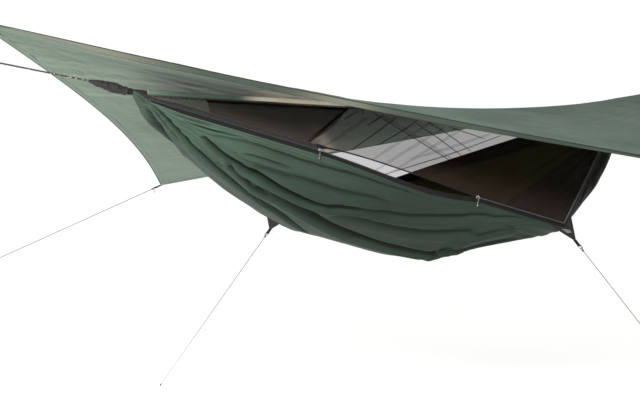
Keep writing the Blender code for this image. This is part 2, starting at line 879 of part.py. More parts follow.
def patch_edge(side, share):
    """A point on a corner patch's upper edge, which follows the bed's edge round its corner."""
    corner = corner_x(side)
    reach = (corner_patch_left if share < 0.5 else corner_patch_right) * abs(2 * share - 1)
    x = corner + side * reach if share < 0.5 else corner - side * reach
    if side == near_side:
        off_tape = (zip_tape_thickness + corner_patch_thickness) / 2 + seam_gap
        return lower_tape_point(x, 1.0) + lower_tape_down * touching_gap + Vector((0, -off_tape, 0))
    net_up = Vector((0, slope_fall, slope_run)) / slope_length
    off_rim = corner_patch_thickness / 2 + touching_gap
    return edge_point(far_side, x) + slope_down(far_side) * touching_gap + net_up * off_rim


def patch_tip(side):
    """The end of a corner patch, where its strap starts."""
    return patch_edge(side, 0.5) + tie_direction(side) * corner_strap_reach


def patch_point(side, u, v):
    """A point of a corner patch: u follows its upper edge, v runs to its tip."""
    across = Vector((-side, 0, 0)) * (strap_width * (u - 0.5))
    return patch_edge(side, u).lerp(patch_tip(side) + across, v)


for name, side in (("near_corner_patch", near_side), ("far_corner_patch", far_side)):
    cloth(name, 6, 3, lambda u, v, side=side: patch_point(side, u, v), corner_patch_thickness, webbing_black)
near_tip = patch_tip(near_side)
far_tip = patch_tip(far_side)
near_along = tie_direction(near_side)
far_along = tie_direction(far_side)
guyed_corner("near_tie", near_tip + near_along * seam_gap, near_along, near_guy_run * math.sqrt(1 + near_guy_drop_share**2))
guyed_corner("far_tie", far_tip + far_along * seam_gap, far_along, math.hypot(far_guy_run, far_guy_drop))

# A plain woven label on the near corner's patch
label_out = patch_point(near_side, 0.3, 0.5) - patch_point(near_side, 0.7, 0.5)
label_out = label_out.cross(patch_point(near_side, 0.5, 1.0) - patch_point(near_side, 0.5, 0.0)).normalized()
if label_out.y > 0:
    label_out = -label_out
label_lift = (corner_patch_thickness + label_thickness) / 2 + label_clearance


def label_point(u, v):
    """A point of the label, which lies on the patch."""
    on_patch = patch_point(near_side, between(u, *label_across_shares), between(v, *label_along_shares))
    return on_patch + label_out * label_lift


cloth("corner_label", 6, 2, label_point, label_thickness, label_grey)

# The rain fly
fly_centre_z = ridge_tape_above + touching_gap + fly_thickness / 2
long_edge = math.hypot(fly_half_ridge + fly_side_shift, fly_side_reach)
short_edge = math.hypot(fly_half_ridge - fly_side_shift, fly_side_reach)
fly_area = 2 * fly_half_ridge * fly_side_reach
hem_along_short = fly_hem_width * long_edge / fly_area
hem_along_long = fly_hem_width * short_edge / fly_area
gap_along_short = seam_gap * long_edge / fly_area
gap_along_long = seam_gap * short_edge / fly_area


def fly_point(s, t):
    """A point of the fly: s runs from its left corner to its near corner, t to its far corner."""
    ridge_share = s + t - 1
    side_share = s - t
    long_cut = 4 * fly_long_edge_cut_share * s * (1 - s)
    short_cut = 4 * fly_short_edge_cut_share * t * (1 - t)
    ridge_cut = long_cut * ((1 - t) * (s - 1) + t * s) + short_cut * ((1 - s) * (t - 1) + s * t)
    side_cut = long_cut * ((1 - t) * s + t * (s - 1)) + short_cut * (-(1 - s) * t + s * (1 - t))
    p = ridge_share - ridge_cut
    q = side_share - side_cut
    rise = (fly_ridge_rise - fly_centre_z) * abs(p) ** fly_ridge_power
    fall = (fly_side_drop + fly_centre_z) * abs(q) ** fly_slope_power
    return Vector(
        (
            mid_x + p * fly_half_ridge + q * fly_side_shift,
            -q * fly_side_reach,
            fly_centre_z + rise - fall,
        )
    )


sheet_low_s = hem_along_long + gap_along_long
sheet_low_t = hem_along_short + gap_along_short
cloth(
    "fly_sheet",
    22,
    22,
    lambda u, v: fly_point(between(u, sheet_low_s, 1 - sheet_low_s), between(v, sheet_low_t, 1 - sheet_low_t)),
    fly_thickness,
    fly_green,
)
cloth(
    "fly_hem_near_left",
    22,
    1,
    lambda u, v: fly_point(u, between(v, 0, hem_along_short)),
    fly_hem_thickness,
    hem_black,
)
cloth(
    "fly_hem_far_right",
    22,
    1,
    lambda u, v: fly_point(u, between(v, 1 - hem_along_short, 1)),
    fly_hem_thickness,
    hem_black,
)
cloth(
    "fly_hem_far_left",
    1,
    20,
    lambda u, v: fly_point(between(u, 0, hem_along_long), between(v, sheet_low_t, 1 - sheet_low_t)),
    fly_hem_thickness,
    hem_black,
)
cloth(
    "fly_hem_near_right",
    1,
    20,
    lambda u, v: fly_point(between(u, 1 - hem_along_long, 1), between(v, sheet_low_t, 1 - sheet_low_t)),
    fly_hem_thickness,
    hem_black,
)

ridge_slope = fly_ridge_power * (fly_ridge_rise - fly_centre_z) / fly_half_ridge
side_away = Vector((fly_side_shift, -fly_side_reach, 0)).normalized()
fly_pull_left = Vector((-1, 0, ridge_slope)).normalized()
fly_pull_right = Vector((1, 0, ridge_slope)).normalized()
fly_pull_near = (side_away + Vector((0, 0, -fly_guy_drop_share))).normalized()
fly_pull_far = (-side_away + Vector((0, 0, -fly_guy_drop_share))).normalized()


def fly_strap_place(s, t, along):
    """Where a corner's strap starts: just off the hem's tip."""
    return fly_point(s, t) + along * seam_gap


for name, s, t, along in (
    ("fly_left", 0, 0, fly_pull_left),
    ("fly_right", 1, 1, fly_pull_right),
    ("fly_near", 1, 0, fly_pull_near),
):
    ring(name + "_ring", strap(name + "_strap", fly_strap_place(s, t, along), along))

fly_bar = guyed_corner("fly_far", fly_strap_place(0, 1, fly_pull_far), fly_pull_far, fly_guy_length)


# Wire hooks: an eye, a shank and a bent end
def wire_hook(name, here, eye_radius, wire, length, bend_radius, look):
    """A hook that hangs down -Z from an eye whose hole runs along the frame's X; the eye's top wire is at the origin."""
    eye_line = [(0, y, z - eye_radius) for y, z in arc((0, 0), eye_radius, 0, 360, 12)[:-1]]
    eye = tube(name, eye_line, wire, look, closed=True, sides=1, place=here)
    top = -2 * eye_radius
    foot = top - length
    line = [(0, 0, top), (0, 0, foot)]
    line += [(0, y + bend_radius, z + foot) for y, z in arc((0, 0), bend_radius, 180, 400, 8)][1:]
    shank = tube(name + "_shank", line, wire * hook_shank_share, look, sides=1, place=here)
    return joined(eye, [shank])


# The hooks on the ridgeline: a loop round the cord and a hook that swings on it
for name, at in (("left", ridge_hook_left_at), ("right", ridge_hook_right_at)):
    loop_z = ridgeline_z + ridgeline_radius + touching_gap + ridge_loop_wire - ridge_loop_radius
    loop_line = [(0, y, z) for y, z in arc((0, 0), ridge_loop_radius, 0, 360, 16)[:-1]]
    loop = tube(
        "ridge_loop_" + name,
        loop_line,
        ridge_loop_wire,
        hook_black,
        closed=True,
        sides=1,
        place=Matrix.Translation((at, 0, loop_z)),
    )
    bar_z = loop_z - ridge_loop_radius
    hook_top = bar_z + ridge_loop_wire + touching_gap + ridge_hook_wire
    hook_place = Matrix.Translation((at, 0, hook_top)) @ Matrix.Rotation(math.radians(90), 4, "Z")
    hook = wire_hook(
        "ridge_hook_" + name,
        hook_place,
        ridge_hook_eye_radius,
        ridge_hook_wire,
        ridge_hook_length,
        ridge_hook_bend_radius,
        hook_black,
    )
    moved_origin(hook, (at, 0, bar_z))

# The hook that hangs on the far fly ring's leg
leg = fly_bar @ Vector((ring_straight, ring_half_width, 0))
leg_along = (fly_bar.to_3x3() @ Vector((1, 0, 0))).normalized()
leg_top = leg + Vector((0, 0, ring_wire_radius + touching_gap + fly_hook_wire))
fly_hook = wire_hook(
    "fly_far_hook",
    frame_at(leg_top, leg_along, (0, 0, 1)),
    fly_hook_eye_radius,
    fly_hook_wire,
    fly_hook_length,
    fly_hook_bend_radius,
    ring_metal,
)
moved_origin(fly_hook, leg)

# The rope to the left, with its tied eye, and the eye where the right rope is tied
rope_along = Vector((-1, 0, main_rope_rise_share)).normalized()
rope_start = left_tip + rope_along * touching_gap
rope_end = rope_start + rope_along * main_rope_length
tube("main_rope_left", [rope_start, (rope_start + rope_end) / 2, rope_end], main_rope_radius, rope_dark, sides=3)


def rope_eye(name, place, along):
    """A spliced eye at a rope's end: a tapered throat and a loop."""
    here = frame_at(place, along, (0, 0, 1))
    reach = main_rope_radius * 4
    loop_radius = main_rope_radius * 4
    eye_line = [(reach + loop_radius + x, 0, z) for x, z in arc((0, 0), loop_radius, 0, 360, 18)[:-1]]
    eye = tube(name, eye_line, main_rope_radius, rope_dark, closed=True, sides=2, place=here)
    throat_profile = [
        (0, 0),
        (0, main_rope_radius),
        (main_rope_radius, main_rope_radius * 2),
        (reach, main_rope_radius * 2),
        (reach + main_rope_radius, 0),
    ]
    throat = turned(name + "_throat", throat_profile, here, rope_dark, steps=14)
    return joined(eye, [throat])


rope_eye("main_rope_left_eye", rope_end + rope_along * touching_gap, rope_along)
right_along = Vector((1, 0, main_rope_rise_share)).normalized()
rope_eye("right_suspension_eye", right_tip + right_along * touching_gap, right_along)
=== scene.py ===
# %% [markdown]
# # A zip hammock tent, dressed over its fixed frame
# The real tent is sewn cloth hung on a rope: a green bed gathered at both ends, a net roof zipped
# to its near edge, and a rain fly with four corners stretched above. Cloth could be simulated, but
# this cloth is pulled tight in known directions, so its shapes are better worked out as surfaces,
# with their folds and creases put where the pull makes them.

from math import asin, atan2, copysign, cos, degrees, dist, exp, hypot, pi, radians, sin, sqrt

import bmesh
import bpy
from mathutils import Matrix, Vector, noise


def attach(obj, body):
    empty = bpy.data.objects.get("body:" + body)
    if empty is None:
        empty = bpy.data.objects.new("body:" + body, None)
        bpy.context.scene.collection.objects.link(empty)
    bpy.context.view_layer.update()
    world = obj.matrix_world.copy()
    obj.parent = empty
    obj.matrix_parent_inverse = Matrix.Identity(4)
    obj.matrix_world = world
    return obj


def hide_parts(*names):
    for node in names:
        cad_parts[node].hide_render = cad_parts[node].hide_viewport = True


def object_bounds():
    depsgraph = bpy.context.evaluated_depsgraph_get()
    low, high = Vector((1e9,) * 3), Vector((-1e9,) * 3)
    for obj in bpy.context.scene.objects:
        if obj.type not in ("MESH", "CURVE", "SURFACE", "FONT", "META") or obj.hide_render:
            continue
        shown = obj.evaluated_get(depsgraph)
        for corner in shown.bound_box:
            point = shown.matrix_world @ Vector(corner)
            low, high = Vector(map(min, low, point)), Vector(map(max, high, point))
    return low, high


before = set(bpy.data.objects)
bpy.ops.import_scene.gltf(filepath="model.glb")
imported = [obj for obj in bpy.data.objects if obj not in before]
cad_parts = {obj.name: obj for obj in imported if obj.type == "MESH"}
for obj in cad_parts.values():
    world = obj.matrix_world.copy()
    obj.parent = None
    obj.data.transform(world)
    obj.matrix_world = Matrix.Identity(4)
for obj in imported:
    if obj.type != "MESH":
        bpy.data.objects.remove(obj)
cad_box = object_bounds()
scene = bpy.context.scene
print("nodes", len(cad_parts), "box", cad_box)

# %% [markdown]
# ## The camera
# The photograph was taken from low down, to the left of the near side. The lens and the turn come
# from the tent's own corners, and the camera is level, so that the horizon crosses the bed.

# %% Camera
camera_place = Vector((-1.780, -3.771, -0.402))
camera_tilt, camera_turn = radians(89.98), radians(-35.04)
camera_lens = 62.18

camera_data = bpy.data.cameras.new("camera")
camera_data.lens = camera_lens
camera_data.clip_start = 0.02
camera_data.clip_end = 60
camera = bpy.data.objects.new("camera", camera_data)
camera.location = camera_place
camera.rotation_euler = (camera_tilt, 0, camera_turn)
scene.collection.objects.link(camera)
scene.camera = camera
scene.view_settings.view_transform = "Standard"

# %% [markdown]
# ## Finishes: the helpers
# A finish is a small network of nodes. One helper adds a node with what feeds it, one turns a colour
# as a painter writes it into the linear light that the shader works in, and one keeps a material's
# parts together while its pattern is built.

# %% Node helpers
# The wave texture makes one stripe in this much of its scaled coordinates.
wave_turn = 0.31416


def linear(hex_colour):
    """Linear red, green, blue and alpha from an sRGB colour written as six digits."""
    out = []
    for i in (0, 2, 4):
        share = int(hex_colour[i : i + 2], 16) / 255
        out.append(share / 12.92 if share <= 0.04045 else ((share + 0.055) / 1.055) ** 2.4)
    return (*out, 1.0)


def feed(tree, made, inputs):
    """Fills a node's inputs, each with a value, a colour as six digits or another node's output."""
    for key, value in inputs.items():
        if isinstance(value, bpy.types.NodeSocket):
            tree.links.new(value, made.inputs[key])
        else:
            made.inputs[key].default_value = linear(value) if isinstance(value, str) else value


def node(tree, kind, inputs, out=0, **settings):
    """Adds one node with its settings, fills its inputs and returns one of its outputs."""
    made = tree.nodes.new("ShaderNode" + kind)
    for key, value in settings.items():
        setattr(made, key, value)
    feed(tree, made, inputs)
    return made.outputs[out]


class Finish:
    """A material while its pattern is built, with the cloth's and the piece's coordinates."""

    def __init__(self, name, values):
        self.material = bpy.data.materials.new(name)
        self.material.use_nodes = True
        self.tree = self.material.node_tree
        self.shader = self.tree.nodes["Principled BSDF"]
        self.flat = self.add("TexCoord", {}, "UV")
        self.place = self.add("TexCoord", {}, "Object")
        self.set(values)

    def set(self, values):
        """Fills the shader's own inputs."""
        feed(self.tree, self.shader, values)

    def add(self, kind, inputs, out=0, **settings):
        """One more node."""
        return node(self.tree, kind, inputs, out, **settings)

    def bands(self, spacing, direction, coordinates=None):
        """Even stripes one spacing apart, in metres, across one direction of the cloth."""
        inputs = {"Scale": wave_turn / spacing, "Vector": self.flat if coordinates is None else coordinates}
        return self.add("TexWave", inputs, "Fac", bands_direction=direction)

    def cloud(self, scale, detail, **more):
        """Uneven patches through the piece."""
        return self.add("TexNoise", {"Scale": scale, "Detail": detail, "Vector": self.place, **more}, "Fac")

    def both(self, one, other, operation="MULTIPLY"):
        """Two patterns joined into one."""
        return self.add("Math", {0: one, 1: other}, operation=operation)

    def ranged(self, value, start=0.0, end=1.0, low=0.0, high=1.0):
        """A pattern taken from one range of values to another."""
        return self.add("MapRange", {0: value, 1: start, 2: end, 3: low, 4: high})

    def blend(self, share, one, other, how="MIX"):
        """Two colours mixed by a share."""
        return self.add("Mix", {0: share, 6: one, 7: other}, 2, data_type="RGBA", blend_type=how)

    def done(self, colour, height, strength, depth, **settings):
        """Gives the shader its colour and its relief, and returns the material."""
        relief = self.add("Bump", {"Strength": strength, "Distance": depth, "Height": height}, **settings)
        self.set({"Base Color": colour, "Normal": relief})
        return self.material


# %% [markdown]
# ## Cloth finishes
# Coated nylon is woven flat and rolled smooth, which gives it a soft sheen and a fine, even weave;
# use rubs it paler in large patches. A painted warm highlight and painted shade in the folds can be
# mixed into its colour. The real thread is about a quarter of a millimetre, too fine for this
# picture, so the weave is drawn several times as coarse.

# %% Woven cloth
thread = 0.0014
fly_patch, bed_patch, black_patch = 0.42, 0.30, 0.25


def woven_cloth(name, hue, pale, patch, rough, shine, sheen=0.0, spread=0.4, highlight_hue=None, crease=None):
    """Plain-woven cloth: threads both ways, a large cloudy change of colour and a fine crumple."""
    made = Finish(name, {"Specular IOR Level": shine, "Sheen Weight": sheen, "Sheen Roughness": spread})
    weave = made.both(made.bands(thread, "X"), made.bands(thread, "Y"))
    cloud = made.cloud(1 / patch, 5.0, Roughness=0.62)
    tint = made.blend(made.ranged(cloud, 0.35, 0.72), hue, pale)
    colour = made.blend(0.10, tint, weave, "OVERLAY")
    # Painted light: a warm painted highlight and a dark painted shade, each mixed in by a share that the
    # pieces carry.
    for painted, painted_hue in (("painted_highlight", highlight_hue), ("painted_shade", crease)):
        if painted_hue:
            colour = made.blend(made.add("Attribute", {}, "Fac", attribute_name=painted), colour, painted_hue)
    crumple = made.cloud(38.0, 4.0, Roughness=0.55, Distortion=0.6)
    made.set({"Roughness": made.ranged(cloud, low=rough - 0.06, high=rough + 0.1)})
    return made.done(colour, made.add("Mix", {0: 0.88, 2: weave, 3: crumple}), 0.5, 0.004)


# The outer side is drawn darker than the inner, partly the coating's own tone and partly painted shade.
fly_outer_look = woven_cloth("coated_nylon_sage_outer", "424f44", "56635a", fly_patch, 0.80, 0.10)
# f6ead2 is the hue of the painted warm highlight on the inner side.
fly_cloth_look = woven_cloth(
    "coated_nylon_sage_inner", "59695c", "67786a", fly_patch, 0.48, 0.30, 0.04, highlight_hue="f6ead2"
)
# The hem's dark hue is partly painted shade along the near edge, and 52544a is its painted highlight.
hem_cloth_look = woven_cloth("turned_hem_sage", "292f29", "323931", fly_patch, 0.80, 0.06, highlight_hue="52544a")
# 020302 is the hue of the bed's painted shade, in its fold valleys and broadly through its middle.
bed_cloth_look = woven_cloth("woven_nylon_moss", "303f34", "3b4c40", bed_patch, 0.50, 0.10, crease="020302")
bed_inner_look = woven_cloth("woven_nylon_dark_inner", "585129", "645d36", bed_patch, 0.6, 0.15, 0.02, 0.35)
black_cloth_look = woven_cloth("woven_nylon_black", "151312", "1f1c1a", black_patch, 0.6, 0.25, 0.03)
print("cloth finishes", len(bpy.data.materials))

# %% [markdown]
# ## Net
# Mosquito net is a knitted hexagon mesh of black thread, with holes of about a millimetre that no
# picture of a whole tent can show. What the eye sees is a dark veil, so the net is a sheet that lets
# most of the light through, and the pocket is the same net laid double.


# %% Net finishes
def knitted_net(name, hue, cover):
    """A dark veil whose cover is the share of light that its threads stop."""
    made = Finish(name, {"Alpha": cover, "Roughness": 0.85, "Specular IOR Level": 0.1})
    cells = made.add("TexVoronoi", {"Scale": 420.0, "Vector": made.place}, feature="DISTANCE_TO_EDGE")
    return made.done(made.blend(made.cloud(5.0, 3.0), hue, "3a2d27"), cells, 0.15, 0.0005, invert=True)


net_look = knitted_net("mosquito_net_black", "2e221e", 0.43)
pocket_look = knitted_net("mosquito_net_double", "221b18", 0.70)
crease_look = knitted_net("mosquito_net_folded", "120e0c", 0.72)
# This faint veil is painted shadow for the slack net's folds, not a layer of net.
painted_shadow_look = knitted_net("mosquito_net_painted_shadow", "1d1714", 0.22)

# %% [markdown]
# ## Webbing, tapes, cords and metal
# Webbing and zip tape are woven in a twill whose ribs run across the strip, and cords are braided
# over a core, so their patterns follow each strip's own UV map. The metal is zinc or steel, polished
# in a drum, and rubbed uneven.

# %% Narrow goods and metal
matt_thread = {"Specular IOR Level": 0.12, "Sheen Weight": 0.02}


def ribbed_tape(name, hue, pale, rib, rough):
    """Woven tape: ribs along and across it, and a paler bloom where it is handled."""
    made = Finish(name, {"Roughness": rough, **matt_thread})
    ribs = made.both(made.bands(rib, "X"), made.bands(rib * 1.5, "DIAGONAL"))
    bloom = made.both(ribs, made.cloud(24.0, 4.0))
    return made.done(made.blend(bloom, hue, pale), ribs, 0.6, 0.0006)


def braided_cord(name, hue, fleck, radius, fleck_share):
    """Braided cord: two sets of strands that cross, with flecks of another colour woven in."""
    made = Finish(name, {"Roughness": 0.80, **matt_thread})
    strands = []
    for turn in (1.0, -1.0):
        laid = made.add("Mapping", {"Scale": (turn, radius * 6.3, 1.0), "Vector": made.flat})
        strands.append(made.bands(radius * 0.9, "DIAGONAL", laid))
    braid = made.both(*strands, operation="MAXIMUM")
    flecks = made.ranged(made.cloud(1 / (radius * 2.2), 2.0), 1 - fleck_share, 1.06 - fleck_share)
    shade = made.blend(0.35, made.blend(flecks, hue, fleck), braid, "MULTIPLY")
    return made.done(shade, braid, 0.7, radius * 0.3)


def tumbled_metal(name, hue, metallic, rough):
    """Small metal or nylon wire, tumbled smooth, with fine scuffs."""
    made = Finish(name, {"Metallic": metallic})
    scuff = made.cloud(700.0, 3.0)
    made.set({"Roughness": made.ranged(scuff, low=rough - 0.08, high=rough + 0.14)})
    return made.done(hue, scuff, 0.15, 0.0002)


webbing_look = ribbed_tape("polyester_webbing_black", "121213", "2c2b2c", 0.0018, 0.72)
tape_look = ribbed_tape("zip_tape_charcoal", "1b191b", "4a474a", 0.0032, 0.70)
dark_tape_look = ribbed_tape("zip_tape_black", "080707", "161515", 0.0022, 0.72)
binding_look = ribbed_tape("grosgrain_binding_black", "171716", "312f2d", 0.0020, 0.70)
label_look = ribbed_tape("woven_label_grey", "6a6566", "a3a0a0", 0.0030, 0.7)
guy_look = braided_cord("braided_guy_cord_grey", "0b0b0b", "20201f", 0.0012, 0.42)
rope_look = braided_cord("flecked_rope_dark", "2b302a", "9ba196", 0.0030, 0.40)
thread_look = braided_cord("lashing_twine_black", "151515", "3b3a38", 0.0012, 0.35)
pull_look = braided_cord("zip_pull_cord_pale", "2a2927", "8f8c84", 0.0018, 0.50)
# The grey coil is a painted highlight on the zip's black coil.
highlight_coil_look = tumbled_metal("nylon_zip_coil_painted_highlight", "454346", 0.0, 0.36)
dark_coil_look = tumbled_metal("nylon_zip_coil_black", "0d0c0e", 0.0, 0.62)
slider_look = tumbled_metal("zinc_zip_slider", "b9b8b4", 1.0, 0.3)
ring_look = tumbled_metal("steel_ring_plated", "7d7d79", 1.0, 0.32)
hook_look = tumbled_metal("wire_hook_blackened", "17181a", 0.6, 0.42)
print("finishes", len(bpy.data.materials))

# %% [markdown]
# ## Making pieces
# Every piece here is a grid that a rule bends into place: a sheet, or a strip rolled into a tube.
# Its UV map is in metres of flat cloth, so a weave keeps its size whatever the fold does.

# %% Mesh helpers
merge_distance = 0.000002


def between(share, low, high):
    """The value that lies a share of the way from low to high."""
    return low + (high - low) * share


def eased(share):
    """A share kept between nought and one, with soft ends."""
    share = min(1.0, max(0.0, share))
    return share * share * (3 - 2 * share)


def window(value, start, end, rise, fall):
    """One inside a range, with a soft start and a soft end."""
    return eased((value - start) / rise) * eased((end - value) / fall)


def uneven(*place):
    """Smooth unevenness between about minus one and one, which any three numbers pick."""
    return noise.noise(Vector(place))


def frame_of(place, x, y):
    """A matrix at a place whose X and Y run in two square directions."""
    return Matrix.Translation(place) @ Matrix((x, y, x.cross(y))).transposed().to_4x4()


def frame_at(place, along, up=(0, 0, 1)):
    """A matrix at a place whose X runs along, and whose Z is as near up as it can be."""
    x = along.normalized()
    return frame_of(place, x, Vector(up).cross(x).normalized())


def arc(centre, radius, start_degrees, end_degrees, count):
    """Points on part of a circle in a plane."""
    out = []
    for i in range(count + 1):
        angle = radians(between(i / count, start_degrees, end_degrees))
        out.append((centre[0] + radius * cos(angle), centre[1] + radius * sin(angle)))
    return out


def ring(centre, radius, count):
    """Points of a whole circle in a plane."""
    return arc(centre, radius, 0, 360, count)[:-1]


def add_surface(bm, columns, rows, point_at, size, spread=None):
    """Adds a grid whose points are put where point_at says; spread crowds its rows where needed."""
    uv = bm.loops.layers.uv.verify()
    made = bmesh.ops.create_grid(bm, x_segments=columns, y_segments=rows, size=0.5, calc_uvs=True)
    faces = {face for vertex in made["verts"] for face in vertex.link_faces}
    for vertex in made["verts"]:
        u, v = vertex.co.x + 0.5, vertex.co.y + 0.5
        vertex.co = point_at(*spread(u, v)) if spread else point_at(u, v)
    for face in faces:
        for loop in face.loops:
            u, v = loop[uv].uv
            if spread:
                u, v = spread(u, v)
            loop[uv].uv = (u * size[0], v * size[1])
    return list(faces)


def route_frames(route, closed):
    """For each point of a route, two directions square to it that turn as little as they can."""
    count = len(route)
    out = []
    side, before = None, None
    for i in range(count):
        ahead = route[(i + 1) % count] if closed or i < count - 1 else route[i]
        behind = route[i - 1] if closed or i > 0 else route[i]
        along = (ahead - behind).normalized()
        if side is None:
            start = Vector((0, 0, 1)) if abs(along.z) < 0.9 else Vector((1, 0, 0))
            side = along.cross(start).normalized()
        else:
            side = before.rotation_difference(along) @ side
            side = (side - along * side.dot(along)).normalized()
        before = along
        out.append((side, along.cross(side)))
    return out


def add_tube(bm, route, radius, sides=8, closed=False):
    """Adds a tube round a route of points; radius is a number or a rule of the share along it."""
    frames = route_frames(route, closed)
    steps = len(route) if closed else len(route) - 1
    radius_at = radius if callable(radius) else lambda share: radius
    run = sum((b - a).length for a, b in zip(route, route[1:]))

    def place(u, v):
        i = round(u * steps)
        one, two = frames[i % len(route)]
        angle = 2 * pi * v
        return route[i % len(route)] + (one * cos(angle) + two * sin(angle)) * radius_at(u)

    faces = add_surface(bm, steps, sides, place, (run, 1.0))
    vertices = list({vertex for face in faces for vertex in face.verts})
    bmesh.ops.remove_doubles(bm, verts=vertices, dist=merge_distance)
    faces = [face for face in faces if face.is_valid]
    if not closed:
        rims = [edge for face in faces for edge in face.edges if edge.is_boundary]
        faces += bmesh.ops.holes_fill(bm, edges=list(set(rims)), sides=0)["faces"]
    bmesh.ops.recalc_face_normals(bm, faces=faces)


def add_coil(bm, line_at, turns, radius, wire, steps=12, sides=6):
    """Adds a wire wound round a line; line_at gives a place and two square directions for a share."""
    route = []
    for i in range(int(turns * steps) + 1):
        place, one, two = line_at(i / (turns * steps))
        angle = 2 * pi * i / steps
        route.append(place + (one * cos(angle) + two * sin(angle)) * radius)
    add_tube(bm, route, wire, sides)


def add_winding(bm, here, start, run, turns, radius, wire, steps=12, sides=6):
    """Adds a cord wound round a frame's X axis."""
    turned = here.to_3x3()
    add_coil(
        bm,
        lambda share: (here @ Vector((start + run * share, 0, 0)), turned.col[1], turned.col[2]),
        turns,
        radius,
        wire,
        steps,
        sides,
    )


def add_rod(bm, here, start, run, radius, sides=8, steps=4):
    """Adds a straight tube along a frame's X axis."""
    add_tube(bm, [here @ Vector((start + run * i / steps, 0, 0)) for i in range(steps + 1)], radius, sides)


def paint(bm, name, share_at, size):
    """Writes a share to each vertex by its place on the flat cloth, for a finish to use."""
    layer = bm.verts.layers.float.new(name)
    uv = bm.loops.layers.uv.verify()
    for face in bm.faces:
        for loop in face.loops:
            loop.vert[layer] = share_at(loop[uv].uv.x / size[0], loop[uv].uv.y / size[1])


def second_look(bm, chosen):
    """Gives a piece's second look to the faces whose middles are chosen."""
    for face in bm.faces:
        face.material_index = 1 if chosen(face.calc_center_median()) else 0


def flat_area(bm):
    """The whole area of a bmesh's faces."""
    return sum(face.calc_area() for face in bm.faces)


def piece(name, bm, looks, cad=None, body="tent", thickness=0.0, sharp=60, inner=0):
    """Turns a bmesh into a piece of the tent that rides on a body and stands for its CAD node."""
    for face in bm.faces:
        face.smooth = True
    mesh = bpy.data.meshes.new(name)
    bm.to_mesh(mesh)
    bm.free()
    mesh.set_sharp_from_angle(angle=radians(sharp))
    for look in looks if isinstance(looks, list) else [looks]:
        mesh.materials.append(look)
    obj = bpy.data.objects.new(name, mesh)
    scene.collection.objects.link(obj)
    if thickness:
        wall = obj.modifiers.new("thickness", "SOLIDIFY")
        wall.thickness = thickness
        wall.offset = 0.0
        wall.material_offset = inner
    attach(obj, body)
    if cad:
        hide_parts(cad)
    return obj


# %% [markdown]
# ## The lines that carry everything
# These are the frame's own sizes in metres: the ridgeline between the gathers, the two corners of
# the bed, and the planes of the net roof that run from the ridge down to the bed's edges.

# %% Shared sizes
ridge_end = 2.700
mid_x = ridge_end / 2
corner_shift = 0.288
gather_length = 0.070
whipping_length, whipping_radius = 0.0200, 0.0125
ridge_tape_above, ridge_tape_height = 0.0100, 0.0160
net_top_apart = 0.0012
net_top_z = ridge_tape_above - ridge_tape_height - 0.0008
slope_run = 0.638 - net_top_apart
slope_fall = 0.4985 + net_top_z
slope_length = hypot(slope_run, slope_fall)
near, far = -1, 1
side_names = {near: "near", far: "far"}
touch_gap, seam_gap, running_gap = 0.0003, 0.0006, 0.0004
bed_start, bed_end = gather_length, ridge_end - gather_length
bed_length = bed_end - bed_start


def corner_x(side):
    """Where along the ridgeline a side's bed corner is."""
    return mid_x - side * corner_shift


def net_down(side):
    """Which way a side's net slopes down."""
    return Vector((0, side * slope_run, -slope_fall)) / slope_length


net_frames = {
    side: frame_of((0, side * net_top_apart, net_top_z), Vector((1, 0, 0)), net_down(side))
    for side in (near, far)
}


def on_net(side, x, depth, lift=0.0):
    """A place in a side's net: along the ridgeline, down the net and square off it."""
    return net_frames[side] @ Vector((x, depth, lift))


def edge_depth(side, x):
    """How far down the net the bed's edge is at a place along the ridgeline."""
    at = corner_x(side)
    return slope_length * (x / at if x <= at else (ridge_end - x) / (ridge_end - at))


def edge_point(side, x):
    """The bed's edge at a place along the ridgeline."""
    return on_net(side, x, edge_depth(side, x))


# %% The zip's line, its opening and its tapes
near_corner_x = corner_x(near)
track = (edge_point(near, near_corner_x) - edge_point(near, 0)).normalized()
left_slider_at, right_slider_at = 0.756, 1.433
open_from, open_to = left_slider_at * track.x, right_slider_at * track.x
coil_radius = 0.0026
steep_share = hypot(1, slope_length / (ridge_end - near_corner_x))
coil_clear = (coil_radius + running_gap) * steep_share
opening_rise, opening_rise_skew = 0.046, 0.6
opening_sag, opening_sag_skew = 0.027, 1.6
tape_full_depth, lower_tape_width, tape_thickness = 0.090, 0.017, 0.0013
upper_tape_wide, upper_tape_narrow = 0.034, 0.009
rim_narrow = 0.012


def open_share(x, skew):
    """Nought where the zip is closed and one where its opening is widest, which the skew moves."""
    if x <= open_from or x >= open_to:
        return 0.0
    return sin(pi * ((x - open_from) / (open_to - open_from)) ** skew)


def tape_share(x):
    """How much of their width the zip's tapes have where they run into the gathers."""
    return min(1.0, edge_depth(near, x) / tape_full_depth)


def upper_tape_low(x):
    """Depth down the net of the upper tape's lower edge."""
    return edge_depth(near, x) - coil_clear - opening_rise * open_share(x, opening_rise_skew)


def upper_tape_high(x):
    """Depth down the net of the upper tape's upper edge; the tape is wide only left of the opening."""
    wide = between(eased((x - open_from) / 0.06), upper_tape_wide, upper_tape_narrow)
    return upper_tape_low(x) - wide * tape_share(x)


def far_rim_depth(x):
    """Depth down the far net at which its black rim starts; the rim widens towards the right gather."""
    wide = rim_narrow + 0.079 * eased((x - 1.0) / 0.75) + 0.079 * max(0.0, x - 1.62)
    return edge_depth(far, x) - min(wide, rim_narrow + 0.45 * edge_depth(far, x))


lower_tape_down = Vector((0, -0.25, -1)).normalized()
far_wall_down = Vector((0, 0.25, -1)).normalized()


def lower_tape_point(x, share):
    """A point on the lower tape, from its coil edge (0) to its seam with the bed (1)."""
    start = coil_radius + running_gap + opening_sag * open_share(x, opening_sag_skew)
    return edge_point(near, x) + lower_tape_down * (start + lower_tape_width * tape_share(x) * share)


print("zip opening from", round(open_from, 3), "to", round(open_to, 3), "m")

